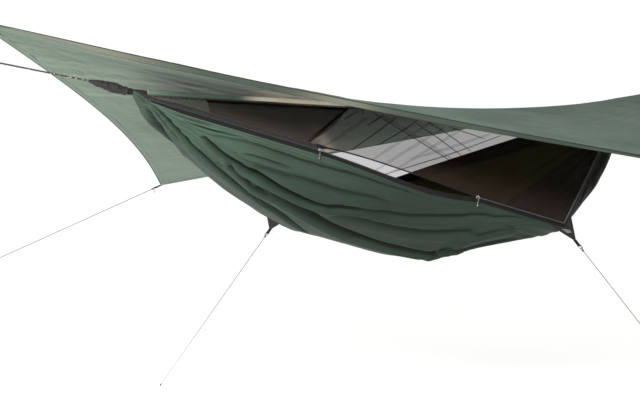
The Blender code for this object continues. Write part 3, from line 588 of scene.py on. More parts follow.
# %% [markdown]
# ## The free cords
# One rope hangs the left end, and three thin guy lines hold the bed's two corners and the fly's far
# corner. What holds their outer ends is outside the picture, so each is pulled straight and ends in
# its tied loop just beyond the frame. Each is a tube round its real line, which carries the braid.

# %% Cord helpers
guy_radius, rope_radius = 0.0012, 0.0030
cord_eye_radius = 0.0048
knot_radius, knot_length = 0.0034, 0.0110
ring_wire, ring_straight, ring_half_width = 0.0014, 0.007, 0.0105
ring_reach = ring_straight + ring_half_width
strap_length, strap_width, strap_thickness = 0.034, 0.015, 0.0018
guy_kind = (guy_radius, 10, guy_look, "cord_grey", "limp")
rope_kind = (rope_radius, 16, rope_look, "rope_dark", "medium")
bar_frames = {}


def hang_ring(prefix, start, along):
    """Notes where a ring's bar lies in the eye of the strap that starts at a place."""
    strap = frame_at(start + along * seam_gap, along)
    bar_frames[prefix] = (strap @ Matrix.Translation((strap_length, 0, 0)), along)


def tied_eye(name, here, cad, body):
    """A loop of cord closed by a wound knot, which runs along the frame's X."""
    bm = bmesh.new()
    loop = [here @ Vector((x, 0, z)) for x, z in ring((0, 0), cord_eye_radius, 24)]
    add_tube(bm, loop, guy_radius, 8, closed=True)
    start = cord_eye_radius - guy_radius / 2
    run, turn_radius = knot_length - 2 * guy_radius, knot_radius - guy_radius
    add_winding(bm, here, start + guy_radius, run, 4, turn_radius, guy_radius)
    add_rod(bm, here, start, knot_length, guy_radius)
    return piece(name, bm, guy_look, cad, body)


def held_line(name, cad, start, end, length, kind, body="tent"):
    """A cord pulled straight between two places, drawn as a tube along its line."""
    radius, sides, look, slot, stiffness = kind
    route = [start.lerp(end, i / 24) for i in range(25)]
    bm = bmesh.new()
    add_tube(bm, route, radius, sides)
    piece(name, bm, look, cad, body)
    print(name, round(length, 3), "m")


def guy_line(prefix, length):
    """A guy line from its ring to the loop at its outer end."""
    bar, along = bar_frames[prefix]
    body = prefix + "_guy"
    eye_at = ring_reach - ring_wire - touch_gap - guy_radius + cord_eye_radius
    eye_frame = bar @ Matrix.Translation((eye_at, 0, 0))
    reach = cord_eye_radius - guy_radius / 2 + knot_length + touch_gap
    start = eye_frame @ Vector((reach, 0, 0))
    end = start + along * length
    eyes = [
        tied_eye(prefix + "_line_eye", eye_frame, prefix + "_guy_eye", body),
        tied_eye(prefix + "_line_end", frame_at(end + along * reach, -along), prefix + "_guy_end", body),
    ]
    held_line(prefix + "_line", prefix + "_guy_line", start, end, length, guy_kind, body)


# %% Bed corners and where their guy lines start
far_guy_run, far_guy_drop = 1.090, 0.855
near_guy_run, near_guy_drop_share, near_guy_side_share = 0.380, 0.873, 0.082
patch_left, patch_right, patch_thickness, patch_reach = 0.086, 0.100, 0.0018, 0.070
patch_cloth = 0.0016
tie_directions = {
    far: Vector((0, far_guy_run, -far_guy_drop)).normalized(),
    near: Vector((-near_guy_side_share, -1, -near_guy_drop_share)).normalized(),
}


def patch_edge(side, share):
    """A point on a corner patch's upper edge, which follows the bed's edge round its corner."""
    reach = (patch_left if share < 0.5 else patch_right) * abs(2 * share - 1)
    x = corner_x(side) + (side if share < 0.5 else -side) * reach
    if side == near:
        off_tape = (patch_cloth + patch_thickness) / 2 + seam_gap
        return lower_tape_point(x, 1.0) + lower_tape_down * touch_gap + Vector((0, -off_tape, 0))
    net_up = Vector((0, slope_fall, slope_run)) / slope_length
    return edge_point(side, x) + net_down(side) * touch_gap + net_up * (patch_thickness / 2 + touch_gap)


def patch_tip(side):
    """The end of a corner patch, where its strap starts."""
    return patch_edge(side, 0.5) + tie_directions[side] * patch_reach


hang_ring("near_tie", patch_tip(near), tie_directions[near])
hang_ring("far_tie", patch_tip(far), tie_directions[far])
guy_line("near_tie", near_guy_run * sqrt(1 + near_guy_drop_share**2))
guy_line("far_tie", hypot(far_guy_run, far_guy_drop))

# %% [markdown]
# ## The rain fly's surface
# The fly is a saddle: its two ridge corners are pulled up and its two side corners are pulled out
# and down, and each edge is cut to a hollow curve so that it stays tight.

# %% Fly surface
fly_half_ridge, fly_ridge_rise, fly_ridge_power = 1.940, 0.214, 2.0
fly_side_shift, fly_side_reach, fly_side_drop, fly_slope_power = 0.508, 1.410, 0.327, 1.3
fly_centre_z = ridge_tape_above + touch_gap + 0.001
fly_long_hollow, fly_short_hollow = 4 * 0.0886, 4 * 0.0806
fly_side_pull = 0.324
fly_guy_length = 1.450
long_edge = hypot(fly_half_ridge + fly_side_shift, fly_side_reach)
short_edge = hypot(fly_half_ridge - fly_side_shift, fly_side_reach)
hem_width = 0.022
hem_along_short, hem_along_long = (
    hem_width * edge / (2 * fly_half_ridge * fly_side_reach) for edge in (long_edge, short_edge)
)


def fly_shares(s, t):
    """How far along the ridge and out to the side a point of the fly is."""
    long_cut = fly_long_hollow * s * (1 - s)
    short_cut = fly_short_hollow * t * (1 - t)
    ridge_cut = long_cut * ((1 - t) * (s - 1) + t * s) + short_cut * ((1 - s) * (t - 1) + s * t)
    side_cut = long_cut * ((1 - t) * s + t * (s - 1)) + short_cut * (-(1 - s) * t + s * (1 - t))
    return s + t - 1 - ridge_cut, s - t - side_cut


def fly_point(s, t):
    """A point of the fly: s runs from its left corner to its near corner, t to its far corner."""
    p, q = fly_shares(s, t)
    rise = (fly_ridge_rise - fly_centre_z) * abs(p) ** fly_ridge_power
    fall = (fly_side_drop + fly_centre_z) * abs(q) ** fly_slope_power
    x = mid_x + p * fly_half_ridge + q * fly_side_shift
    return Vector((x, -q * fly_side_reach, fly_centre_z + rise - fall))


side_away = Vector((fly_side_shift, -fly_side_reach, 0)).normalized()
ridge_slope = fly_ridge_power * (fly_ridge_rise - fly_centre_z) / fly_half_ridge
side_fall = Vector((0, 0, -fly_side_pull))
for prefix, s, t, pull in (
    ("fly_left", 0, 0, Vector((-1, 0, ridge_slope))),
    ("fly_right", 1, 1, Vector((1, 0, ridge_slope))),
    ("fly_near", 1, 0, side_away + side_fall),
    ("fly_far", 0, 1, side_fall - side_away),
):
    hang_ring(prefix, fly_point(s, t), pull.normalized())
guy_line("fly_far", fly_guy_length)

# %% The rope to the left and the eyes on both ropes
sleeve_length, sleeve_rise, sleeve_neck = 0.165, 0.033, 0.0095
sleeve_climb = Vector((sleeve_length, 0, sleeve_rise)).normalized().z
sleeve_clear = whipping_length / 2 + touch_gap + sleeve_neck * sleeve_climb
rope_climb, rope_length = 0.125, 0.400


def sleeve_tip(end_x, outwards):
    """The start, the direction and the length of a rope's sleeve."""
    along = Vector((outwards * sleeve_length, 0, sleeve_rise)).normalized()
    return Vector((end_x + outwards * sleeve_clear, 0, 0)), along, sleeve_length - sleeve_clear


def rope_eye(name, cad, place, along):
    """A spliced eye at a rope's end: a whipped throat and a round loop."""
    here = frame_at(place, along)
    reach = rope_radius * 4
    bm = bmesh.new()
    loop = [here @ Vector((x, 0, z)) for x, z in ring((reach * 2, 0), reach, 40)]
    add_tube(bm, loop, rope_radius, 14, closed=True)
    add_rod(bm, here, 0, reach * 1.1, lambda share: rope_radius * between(eased(share * 3), 1.0, 1.7), 14, 6)
    add_winding(bm, here, reach * 0.25, reach * 0.7, 6, rope_radius * 1.72, rope_radius * 0.3, 16)
    return piece(name, bm, rope_look, cad)


left_sleeve, right_sleeve = sleeve_tip(0, -1), sleeve_tip(ridge_end, 1)
rope_pull, right_pull = (Vector((outwards, 0, rope_climb)).normalized() for outwards in (-1, 1))
rope_start = left_sleeve[0] + left_sleeve[1] * left_sleeve[2] + rope_pull * touch_gap
rope_end = rope_start + rope_pull * rope_length
left_eye = rope_eye("main_rope_eye", "main_rope_left_eye", rope_end + rope_pull * touch_gap, rope_pull)
held_line("main_rope", "main_rope_left", rope_start, rope_end, rope_length, rope_kind)
right_end = right_sleeve[0] + right_sleeve[1] * right_sleeve[2]
rope_eye("suspension_eye", "right_suspension_eye", right_end + right_pull * touch_gap, right_pull)

# %% [markdown]
# ## The rain fly's cloth
# Tight cloth still wrinkles: fine lines fan out along the ridge from each rope corner, and long
# shallow ones run beside the hems. They are heights added to the saddle, and they die out at the
# ridge tape, so the cloth lies on it as the real one does.


# %% Fly cloth
fan_run, fan_gap = 1.5, 0.25
fan_waves = ((0.0065, 34, 0.7, 0), (0.0080, 90, 1.3, 4))
hem_wave, hem_wave_fade, slow_wave = 0.007, 12, 0.003


def fly_wrinkle(s, t):
    """How far the cloth stands off the smooth saddle."""
    p, q = fly_shares(s, t)
    along, out = p * fly_half_ridge, q * fly_side_reach
    height = 0.0
    for seed, corner in ((3.1, -fly_half_ridge), (8.7, fly_half_ridge)):
        run = hypot(along - corner, out)
        angle = atan2(out, abs(along - corner))
        close = exp(-run / fan_run) * min(1.0, run / fan_gap)
        for high, lines, drift, shift in fan_waves:
            height += close * high * uneven(angle * lines, run * drift, seed + shift)
    edge = min(s, 1 - s, t, 1 - t)
    height += hem_wave * uneven((s + t) * 1.2, edge * 60, 5.0) * exp(-edge * hem_wave_fade)
    height += slow_wave * uneven(along * 1.6, out * 9, 2.2)
    return height * eased(abs(out) / 0.05) * eased(edge / 0.012)


def fly_place(s, t):
    """A point of the fly's cloth, wrinkles and all."""
    return fly_point(s, t) + Vector((0, 0, fly_wrinkle(s, t)))


def highlight_share(s, t):
    """How strong the painted warm highlight on the underside is: a patch by the ridge, a line across the far
    half, and streaks.
    """
    near_ridge = window(s, 0.235, 0.39, 0.06, 0.03) * window(t - s, 0.015, 0.15, 0.02, 0.03)
    down_side = 0.55 * window(t, 0.55, 0.985, 0.15, 0.02) * exp(-(((s - 0.302) / 0.012) ** 2))
    streaks = 0.18 * max(0.0, uneven(s * 2.5, (t - 0.4 * s) * 40, 7.0)) * eased((0.45 - t) / 0.2)
    return min(1.0, near_ridge + down_side + streaks)


fly_steps = 205
fly_low_s, fly_low_t = hem_along_long * 0.45, hem_along_short * 0.45
bm = bmesh.new()
add_surface(
    bm,
    fly_steps,
    fly_steps,
    lambda u, v: fly_place(between(u, fly_low_s, 1 - fly_low_s), between(v, fly_low_t, 1 - fly_low_t)),
    (long_edge, short_edge),
)
# The painted highlight is written to an attribute that the inner side's finish mixes towards a warm pale hue.
paint(bm, "painted_highlight", highlight_share, (long_edge, short_edge))
fly_area = flat_area(bm)
fly_looks = [fly_outer_look, fly_cloth_look]
fly_cloth = piece("fly_cloth", bm, fly_looks, "fly_sheet", thickness=0.0012, inner=1)
print("fly cloth area", round(fly_area, 3), "m2, edges", round(long_edge, 3), round(short_edge, 3))

# %% Fly hems: the edge is turned twice and bound with a dark tape
flap_drop = 0.020
binding_width = 0.005


def flap_fall(u):
    """How far the hem's loose flap hangs: most in the left half, and nothing at the corners."""
    return flap_drop * (1 - 0.65 * eased((u - 0.55) / 0.35)) * window(u, 0, 1, 0.16, 0.04)


def hem_pale_share(along):
    """How pale the hem is painted: a painted highlight by the cream patch, and paler towards its two ends."""
    by_patch = 0.8 * exp(-(((along - 0.44) / 0.05) ** 2))
    return 0.8 * eased((0.26 - along) / 0.14) + by_patch + 0.5 * eased((along - 0.92) / 0.06)


def fly_hem(edge_name, place_at, length, flap=None):
    """A hem strip: a turned edge of fly cloth with a dark binding along its outer side."""
    bm = bmesh.new()
    uv = bm.loops.layers.uv.verify()
    add_surface(bm, 90, 6, place_at, (length, hem_width))
    for face in bm.faces:
        outer = sum(loop[uv].uv.y for loop in face.loops) / len(face.loops)
        face.material_index = 1 if outer < binding_width else 0
    if flap:
        add_surface(bm, 90, 5, flap, (length, flap_drop))
    paint(bm, "painted_highlight", lambda u, v: hem_pale_share(u) if flap else 0.0, (length, 1))
    looks = [hem_cloth_look if flap else fly_cloth_look, binding_look]
    return piece(edge_name + "_hem", bm, looks, "fly_hem_" + edge_name, thickness=0.0030)


# The near-left hem's hanging flap, in that dark hue, is partly painted shade below the near edge.
hems = [
    fly_hem(
        "near_left",
        lambda u, v: fly_place(u, v * hem_along_short),
        long_edge,
        lambda u, v: fly_place(u, 0.0) + Vector((0, 0.002, -0.001 - flap_fall(u) * v)),
    ),
    fly_hem("far_right", lambda u, v: fly_place(u, 1 - v * hem_along_short), long_edge),
    fly_hem("far_left", lambda u, v: fly_place(v * hem_along_long, u), short_edge),
    fly_hem("near_right", lambda u, v: fly_place(1 - v * hem_along_long, u), short_edge),
]

# %% [markdown]
# ## The bed
# The bed is one long cloth, gathered at both ends and held up along its two edges, so it hangs as a
# deep trough. The gathers throw long folds into it that fade towards the middle, and the photograph
# shows each main one. Each fold is a line on the cloth with a valley along it and a roll beside it.

# %% Bed surface
bed_hem_depth = 0.006
bed_depth, keel_power, keel_round = 0.660, 1.21, 0.91
full_power, pulled_power, spare_power = 6.0, 1.67, 2.24
billow_depth = 0.074
rim_start = 0.0013


def trough_point(x, across):
    """A point of the smooth trough below the bed's hems."""
    near_rim = lower_tape_point(x, 1.0) + lower_tape_down * (touch_gap + bed_hem_depth * tape_share(x))
    far_rim = edge_point(far, x) + far_wall_down * (rim_start + bed_hem_depth * tape_share(x))
    keel = bed_depth * (1 - abs(2 * x / ridge_end - 1) ** keel_power) ** keel_round
    side = sin((across - 0.5) * pi)
    pulled_share = edge_depth(near if side < 0 else far, x) / slope_length
    full_wall = (side < 0) == (x > mid_x)
    low_share = 1 - abs(side) ** between(pulled_share, full_power if full_wall else spare_power, pulled_power)
    middle, half = (near_rim + far_rim) / 2, (far_rim - near_rim) / 2
    end_share = min(x, ridge_end - x) / (ridge_end - near_corner_x)
    billow = 0.0
    if full_wall and end_share < 1:
        billow = billow_depth * 4 * low_share * (1 - low_share) * sin(pi * end_share) ** 0.5
    y = middle.y + half.y * side + copysign(billow, side)
    return Vector((x, y, middle.z + half.z * side - (keel + middle.z) * low_share))


# %% How wide the cloth is at each station
girth_steps, section_steps = 90, 40
girths = []
for i in range(girth_steps + 1):
    x = between(i / girth_steps, bed_start, bed_end)
    section = [trough_point(x, j / section_steps) for j in range(section_steps + 1)]
    girths.append(sum((b - a).length for a, b in zip(section, section[1:])))


def girth(x):
    """The width of the bed's cloth, rim to rim, at a place along the ridgeline."""
    at = (x - bed_start) / bed_length * girth_steps
    i = min(girth_steps - 1, max(0, int(at)))
    return between(at - i, girths[i], girths[i + 1])


print("bed girth at the middle", round(girth(mid_x), 3), "m, at the gather", round(girths[0], 3), "m")

# %% The main folds
# Each has a depth and a half width in millimetres, how dark the painted shade in its valley is in hundredths,
# and its line: centimetres along the ridgeline, and hundredths of the way across the cloth.
main_folds = (
    (26, 15, 95, ((8, 55), (13, 69), (20, 77), (33, 83))),
    (24, 9, 95, ((8, 20), (12, 32), (20, 44), (32, 53), (50, 58), (78, 58), (98, 61))),
    (16, 8, 65, ((8, 30), (13, 45), (20, 53), (33, 62))),
    (26, 12, 92, ((29, 31), (38, 38), (60, 39), (80, 38), (94, 31))),
    (14, 21, 34, ((86, 35), (94, 31), (110, 25), (128, 17), (146, 5))),
    (32, 19, 98, ((60, 47), (90, 46), (117, 44), (140, 40))),
    (22, 12, 92, ((43, 43), (48, 47), (56, 50), (65, 50))),
    (13, 26, 27, ((34, 22), (48, 19), (72, 17), (86, 13), (102, 10))),
    (13, 26, 32, ((52, 34), (68, 29), (84, 26), (100, 22))),
    (9, 7, 50, ((44, 28), (52, 25), (61, 24))),
    (12, 20, 36, ((90, 38), (105, 34), (120, 31), (134, 25), (145, 19))),
    (6, 13, 62, ((12, 5), (30, 2), (48, 2))),
    (7, 7, 42, ((20, 19), (30, 17), (39, 13))),
    (6, 7, 40, ((15, 16), (20, 12), (30, 8))),
    (12, 14, 85, ((133, 40), (138, 33), (146, 29), (156, 26))),
    (6, 16, 50, ((260, 42), (240, 43), (210, 47), (180, 50))),
    (6, 14, 50, ((260, 70), (240, 65), (210, 63), (185, 60))),
    (4, 12, 40, ((260, 25), (240, 29), (195, 33))),
    (4, 12, 40, ((260, 55), (230, 56), (195, 56))),
    (14, 14, 40, ((170, 72), (145, 69), (125, 71), (105, 78))),
    (6, 16, 25, ((175, 24), (165, 25), (154, 22), (144, 14))),
)
fold_reach = 4


def laid_out(x, across):
    """A place on the cloth as if it were flat: along, and out from its middle."""
    return Vector((x, (across - 0.5) * girth(x)))


def smooth_line(points, steps):
    """A curve through every point, which leaves each one towards its neighbours' line."""
    curve = []
    for i in range(len(points) - 1):
        before, a, b, after = (points[min(len(points) - 1, max(0, i + j))] for j in (-1, 0, 1, 2))
        for j in range(steps):
            t = j / steps
            bend = (b - before) * (t - 2 * t * t + t**3) / 2 + (after - a) * (t**3 - t * t) / 2
            curve.append(a.lerp(b, t * t * (3 - 2 * t)) + bend)
    return curve + [points[-1]]


flat_folds = []
for depth, width, shade_share, line in main_folds:
    points = smooth_line([laid_out(x / 100, across / 100) for x, across in line], 3)
    reach = fold_reach * width / 1000
    low, high = (min(point.x for point in points) - reach, max(point.x for point in points) + reach)
    flat_folds.append((depth / 1000, width / 1000, shade_share / 100, points, low, high))


def fold_at(x, across):
    """The main folds' height and painted shade at a place: a valley along each line and a roll below it."""
    here = laid_out(x, across)
    height, dark = 0.0, 0.0
    for depth, width, shade_share, points, low, high in flat_folds:
        if not low < here.x < high:
            continue
        best, side, run = 1.0, 1.0, 0.0
        for i, (a, b) in enumerate(zip(points, points[1:])):
            step = b - a
            share = min(1.0, max(0.0, (here - a).dot(step) / step.length_squared))
            off = here - a - step * share
            if off.length < best:
                best = off.length
                side = 1.0 if step.x * off.y - step.y * off.x > 0 else -1.0
                run = (i + share) / (len(points) - 1)
        if best > fold_reach * width:
            continue
        fade = sin(pi * between(run, 0.06, 0.95)) ** 0.5
        off_line = side * best / width
        valley = exp(-(abs(off_line * 1.25) ** 1.6))
        roll = 0.45 * exp(-((off_line - 1.9) ** 2) / 1.6)
        crest = 0.12 * exp(-((off_line + 1.7) ** 2) / 1.2)
        height += 1.6 * depth * fade * (roll + crest - valley)
        # Painted shade along the valley, darkest on its line.
        dark = max(dark, shade_share * fade * exp(-(abs(off_line * 0.95) ** 2.2)))
    return height, dark


# %% Pleats, ripples and painted shade
pleat_count, widest_pleat, pleat_share, pleat_run = 15, 0.045, 0.16, 0.30
ripple, fine_ripple = 0.0045, 0.0016


def pleat_height(x, across):
    """Fine pleats that run out of the nearer gather and fade."""
    off_end = min(x, ridge_end - x)
    wide = min(girth(x) / pleat_count, widest_pleat)
    wave = sin(2 * pi * (pleat_count * across + 0.6 * uneven(across * 7, x * 1.4, 1.7)))
    firm = 1 - 0.55 * eased((x - mid_x) / 0.4)
    return pleat_share * firm * wide * wave * exp(-off_end / pleat_run)


def slack_height(x, across):
    """Small uneven ripples, longer along the bed than across it."""
    out = (across - 0.5) * girth(x)
    return ripple * uneven(x * 4.5, out * 15, 4.0) + fine_ripple * uneven(x * 12, out * 38, 9.0)


def broad_shade(x, across):
    """How much broad painted shade darkens the cloth: most through the middle, by the opening, less on its
    far part.
    """
    share = 0.66 * eased((x - 0.10) / 0.95) - 0.20 * eased((x - 1.45) / 0.40)
    return share * (1 - 0.24 * eased((across - 0.35) / 0.20))


rim_share = 1 / 40
tilt_step = 0.004


def bed_cloth_point(x, across, shade_shares=None):
    """A point of the bed's cloth: its narrow hems, the trough and its folds; notes the painted shade there.
    """
    shade_shares = [] if shade_shares is None else shade_shares
    shade_shares.append(broad_shade(x, across))
    if across < rim_share:
        rim = lower_tape_point(x, 1.0) + lower_tape_down * touch_gap
        return rim.lerp(trough_point(x, 0), across / rim_share)
    if across > 1 - rim_share:
        rim = edge_point(far, x) + far_wall_down * rim_start
        return rim.lerp(trough_point(x, 1), (across - 1 + rim_share) / rim_share)
    here = (across - rim_share) / (1 - 2 * rim_share)
    place = trough_point(x, here)
    ahead = trough_point(min(x + tilt_step, bed_end), here) - trough_point(x - tilt_step, here)
    over = trough_point(x, min(1, here + tilt_step)) - trough_point(x, max(0, here - tilt_step))
    out = over.cross(ahead)
    if out.length < 0.0000001:
        return place
    fold, dark = fold_at(x, here)
    height = fold + pleat_height(x, here) + slack_height(x, here)
    calm = window(here, 0, 1, 0.03, 0.03) * window(x, bed_start, bed_end, 0.02, 0.02)
    calm *= between(eased((x - bed_start) / 0.14), 0.35, 1)
    # The valley's painted shade and the broad painted shade join into one share.
    shade_shares[-1] = 1 - (1 - dark) * (1 - shade_shares[-1])
    return place + out.normalized() * height * calm


# %% Bed cloth
bed_flat = (bed_length, 1.55)
bay_start, bay_lean, bay_lean_top, bay_top, bay_depth = 1.600, 0.10, -0.35, -0.05, 0.62


def dark_bay(middle):
    """Whether a place is on the near wall's black end, right of the opening."""
    start = bay_start + bay_lean * max(0.0, bay_lean_top - middle.z)
    bottom = -bay_depth * (ridge_end - middle.x) / (ridge_end - start) + bay_top
    return middle.y < 0 and middle.x > start and middle.z > bottom


def bed_spread(u, v):
    """Crowds the grid towards the left gather and over the near side, where the folds are finest."""
    along = bed_slow_share * u + (1 - bed_slow_share) * u * u
    if v < far_side_v:
        return along, v * far_side_share / far_side_v
    return along, between((v - far_side_v) / (1 - far_side_v), far_side_share, 1)


bed_slow_share, far_side_v, far_side_share = 0.42, 0.8, 0.624
bed_grid = ((205, 239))
bed_shade_shares = []
bm = bmesh.new()
add_surface(
    bm,
    *bed_grid,
    lambda u, v: bed_cloth_point(between(u, bed_start, bed_end), v, bed_shade_shares),
    bed_flat,
    bed_spread,
)
# The painted shade is written to an attribute that the bed's finish mixes towards its dark hue.
shade_layer = bm.verts.layers.float.new("painted_shade")
for vertex, shade_share in zip(bm.verts, bed_shade_shares):
    vertex[shade_layer] = shade_share
second_look(bm, dark_bay)
bed_area = flat_area(bm)
bmesh.ops.reverse_faces(bm, faces=bm.faces)
bed_looks = [bed_cloth_look, black_cloth_look, bed_inner_look, black_cloth_look]
bed_cloth = piece("bed_cloth", bm, bed_looks, "hammock_body", thickness=0.0011, inner=2)
print("bed cloth area", round(bed_area, 3), "m2")

# %% [markdown]
# ## The net roof
# Two triangles of net run from the ridge tape down to the bed's edges. Each is a flat panel with a
# slight sag. Where the net is folded on itself in a narrow pleat it looks darker, so the pleats are
# narrow strips laid along it. Wider, fainter strips are painted shadow cast by the slack net's folds.

# %% Nets
net_inset = 0.072
net_flat = (2.47, 0.80)
net_feet = {near: upper_tape_high, far: far_rim_depth}
net_ripples = {near: (0.0011, 7, 16, 6.0, 0.0012), far: (0.003, 6, 14, 8.0, 0.0)}
nets, net_areas = {}, {}
for side, name in side_names.items():

    def net_point(u, v):
        """A point of the net, between the ridge tape and the zip's upper tape or the far rim."""
        x = between(u, net_inset, ridge_end - net_inset)
        depth = (net_feet[side](x) - seam_gap) * v
        height, along, down, seed, sag = net_ripples[side]
        return on_net(side, x, depth, (height * uneven(x * along, depth * down, seed) - sag) * sin(pi * v))

    bm = bmesh.new()
    add_surface(bm, 120, 40, net_point, net_flat)
    net_areas[side] = flat_area(bm)
    nets[side] = piece(name + "_net_panel", bm, net_look, name + "_net")
    print(name, "net", round(net_areas[side], 3), "m2")

# %% Pleats of the nets
# Each has its side, and its places in millimetres: along the ridgeline, and down the net.
sharp_pleats = (
    (near, ((1118, 30), (1163, 106), (1240, 240), (1315, 373), (1389, 518))),
    (near, ((1310, 85), (1371, 221), (1411, 341))),
    (near, ((1394, 86), (1438, 157), (1492, 301))),
    (near, ((1495, 118), (1649, 202))),
    (far, ((1303, 50), (1287, 87), (1240, 185), (1190, 278))),
    (far, ((1435, 58), (1393, 136), (1319, 238))),
    (far, ((1225, 38), (1179, 111))),
    (far, ((1076, 22), (1033, 77))),
    (far, ((1480, 450), (1567, 405), (1770, 296), (1862, 236), (2009, 136))),
)
# Wider strips of painted shadow, where the slack net's folds shade it; the same columns.
shadow_strips = (
    (near, ((1160, 60), (1250, 200), (1345, 380))),
    (far, ((1520, 70), (1420, 220), (1350, 340))),
    (far, ((1620, 100), (1500, 280), (1410, 430))),
    (far, ((1730, 110), (1620, 270), (1520, 430))),
    (far, ((1570, 330), (1750, 240), (1930, 130))),
    (far, ((1150, 60), (1080, 180), (1010, 290))),
)
pleat_lifts = {near: 0.0012, far: -0.0028}


def add_strip(bm, side, line, width):
    """A narrow flat strip along a line in the net: a tapered pleat, or a strip of painted shadow."""
    points = [Vector((x / 1000, depth / 1000, 0)) for x, depth in line]

    def place(u, v):
        at = u * (len(points) - 1)
        i = min(int(at), len(points) - 2)
        run = (points[i + 1] - points[i]).normalized()
        wide = (v - 0.5) * width * sin(pi * between(u, 0.12, 0.88)) ** 0.5
        point = points[i].lerp(points[i + 1], at - i) + run.cross(Vector((0, 0, 1))) * wide
        return on_net(side, point.x, point.y, pleat_lifts[side])

    return add_surface(bm, 24, 1, place, (0.3, width))


for side, name in side_names.items():
    bm = bmesh.new()
    for look, (folds, width) in enumerate(((sharp_pleats, 0.0115), (shadow_strips, 0.030))):
        strips = [add_strip(bm, side, line, width) for owner, line in folds if owner == side]
        for face in sum(strips, []):
            face.material_index = look
    piece("net_pleats_and_shadow_" + name, bm, [crease_look, painted_shadow_look])

# %% Ridge tape, pocket and its band
pocket_left, pocket_foot_left = 0.322, 0.293
pocket_right, pocket_foot_right = 0.990, 0.640
pocket_top = 0.014
pocket_lift, band_lift = 0.0018, 0.0034
band_width, top_band_width = 0.017, 0.020
top_band_left, top_band_right, top_band_slant, top_band_depth = 0.318, 0.985, 0.012, 0.008
highlight_from, highlight_to = 0.46, 1.02


def sewn_x(u):
    """Where along the ridgeline a share of a tape's length is."""
    return between(u, bed_start + touch_gap, bed_end - touch_gap)


def ridge_point(u, v):
    """A point of the ridge tape."""
    z = between(v, ridge_tape_above - ridge_tape_height, ridge_tape_above)
    return Vector((sewn_x(u), 0.00025 * uneven(u * 60, v * 2, 0), z))


def ridge_highlight_share(u, v):
    """How pale the ridge tape is painted: the fly's painted highlight runs onto it."""
    return window(sewn_x(u), highlight_from, highlight_to, 0.12, 0.04)


bm = bmesh.new()
ridge_flat = (bed_length, ridge_tape_height)
add_surface(bm, 220, 6, ridge_point, ridge_flat)
paint(bm, "painted_highlight", ridge_highlight_share, ridge_flat)
piece("ridge_tape_webbing", bm, fly_cloth_look, "ridge_tape", thickness=0.0018)


def pocket_point(u, v):
    """A point of the pocket's panel, which hangs just inside the near net."""
    x = between(u, between(v, pocket_left, pocket_foot_left), between(v, pocket_right, pocket_foot_right))
    depth = between(v, pocket_top, upper_tape_high(x) - seam_gap)
    return on_net(near, x, depth, pocket_lift + abs(0.0006 * uneven(x * 12, depth * 24, 3.0)))


def side_band_point(u, v):
    """A point of the band that closes the pocket's slanting side."""
    x = between(u, pocket_right, pocket_foot_right) + seam_gap + band_width * v
    foot = upper_tape_high(pocket_foot_right + band_width * v) - seam_gap
    return on_net(near, x, between(u, pocket_top, foot), pocket_lift)


def top_band_point(u, v):
    """A point of the band along the pocket's top."""
    x = between(u, top_band_left, top_band_right - top_band_slant * v)
    return on_net(near, x, top_band_depth + top_band_width * v, band_lift)


bm = bmesh.new()
add_surface(bm, 60, 24, pocket_point, (0.6, 0.4))
pocket = piece("gear_pocket_panel", bm, pocket_look, "gear_pocket")
bm = bmesh.new()
add_surface(bm, 60, 2, side_band_point, (0.5, band_width))
add_surface(bm, 60, 2, top_band_point, (0.66, top_band_width))
band = piece("gear_pocket_edge_band", bm, webbing_look, "gear_pocket_band", thickness=0.0012)
for side in (near, far):
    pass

# %% Edge rim and zip tapes
rim_lap, rim_overlap, rim_turn_share = 0.012, 0.0020, 0.8
lip_curl = 0.008


def far_rim_point(u, v):
    """A point of the far rim: a band in the net's plane that turns down outside the far wall."""
    x = sewn_x(u)
    low = edge_depth(far, x) + rim_overlap
    if v <= rim_turn_share:
        return on_net(far, x, between(v / rim_turn_share, far_rim_depth(x), low))
    lap = rim_lap * (v - rim_turn_share) / (1 - rim_turn_share) * tape_share(x)
    return on_net(far, x, low) + Vector((0, 0.0016, 0)) + far_wall_down * lap


def upper_tape_point(u, v):
    """A point of the zip's upper tape, which lies in the near net's plane."""
    x = sewn_x(u)
    depth = between(v, upper_tape_high(x), upper_tape_low(x))
    return on_net(near, x, depth, 0.0004 * uneven(x * 14, v * 2, 1))


def lower_tape_curl(u, v):
    """A point of the zip's lower tape; it rolls outwards where the zip is open."""
    x = sewn_x(u)
    curl = lip_curl * open_share(x, opening_sag_skew) * sin(pi * (1 - v) / 2)
    return lower_tape_point(x, v) + Vector((0, -curl, 0.0003 * uneven(x * 18, v, 2)))


bm = bmesh.new()
add_surface(bm, 160, 10, far_rim_point, (bed_length, 0.08))
piece("far_edge_rim", bm, black_cloth_look, "far_edge_binding", thickness=0.0019)
bm = bmesh.new()
add_surface(bm, 260, 6, upper_tape_point, (bed_length, upper_tape_wide))
second_look(bm, lambda middle: middle.x >= open_from)
tape_looks = [tape_look, dark_tape_look]
piece("zip_upper_tape", bm, tape_looks, "zip_tape_upper", thickness=tape_thickness)
bm = bmesh.new()
add_surface(bm, 260, 6, lower_tape_curl, (bed_length, lower_tape_width))
piece("zip_lower_tape", bm, dark_tape_look, "zip_tape_lower", thickness=tape_thickness)

# %% [markdown]
# ## The zip's coil
# A light zip has no separate teeth: each side is one nylon wire wound into a coil. The closed part
# is drawn as one coil of the closed width, and the open part as a thin coil on each lip.

# %% Coil
coil_pitch = 0.0032
closed_coil, closed_wire = 0.0019, 0.0007
lip_coil, lip_wire, lip_radius = 0.0008, 0.0005, 0.0012


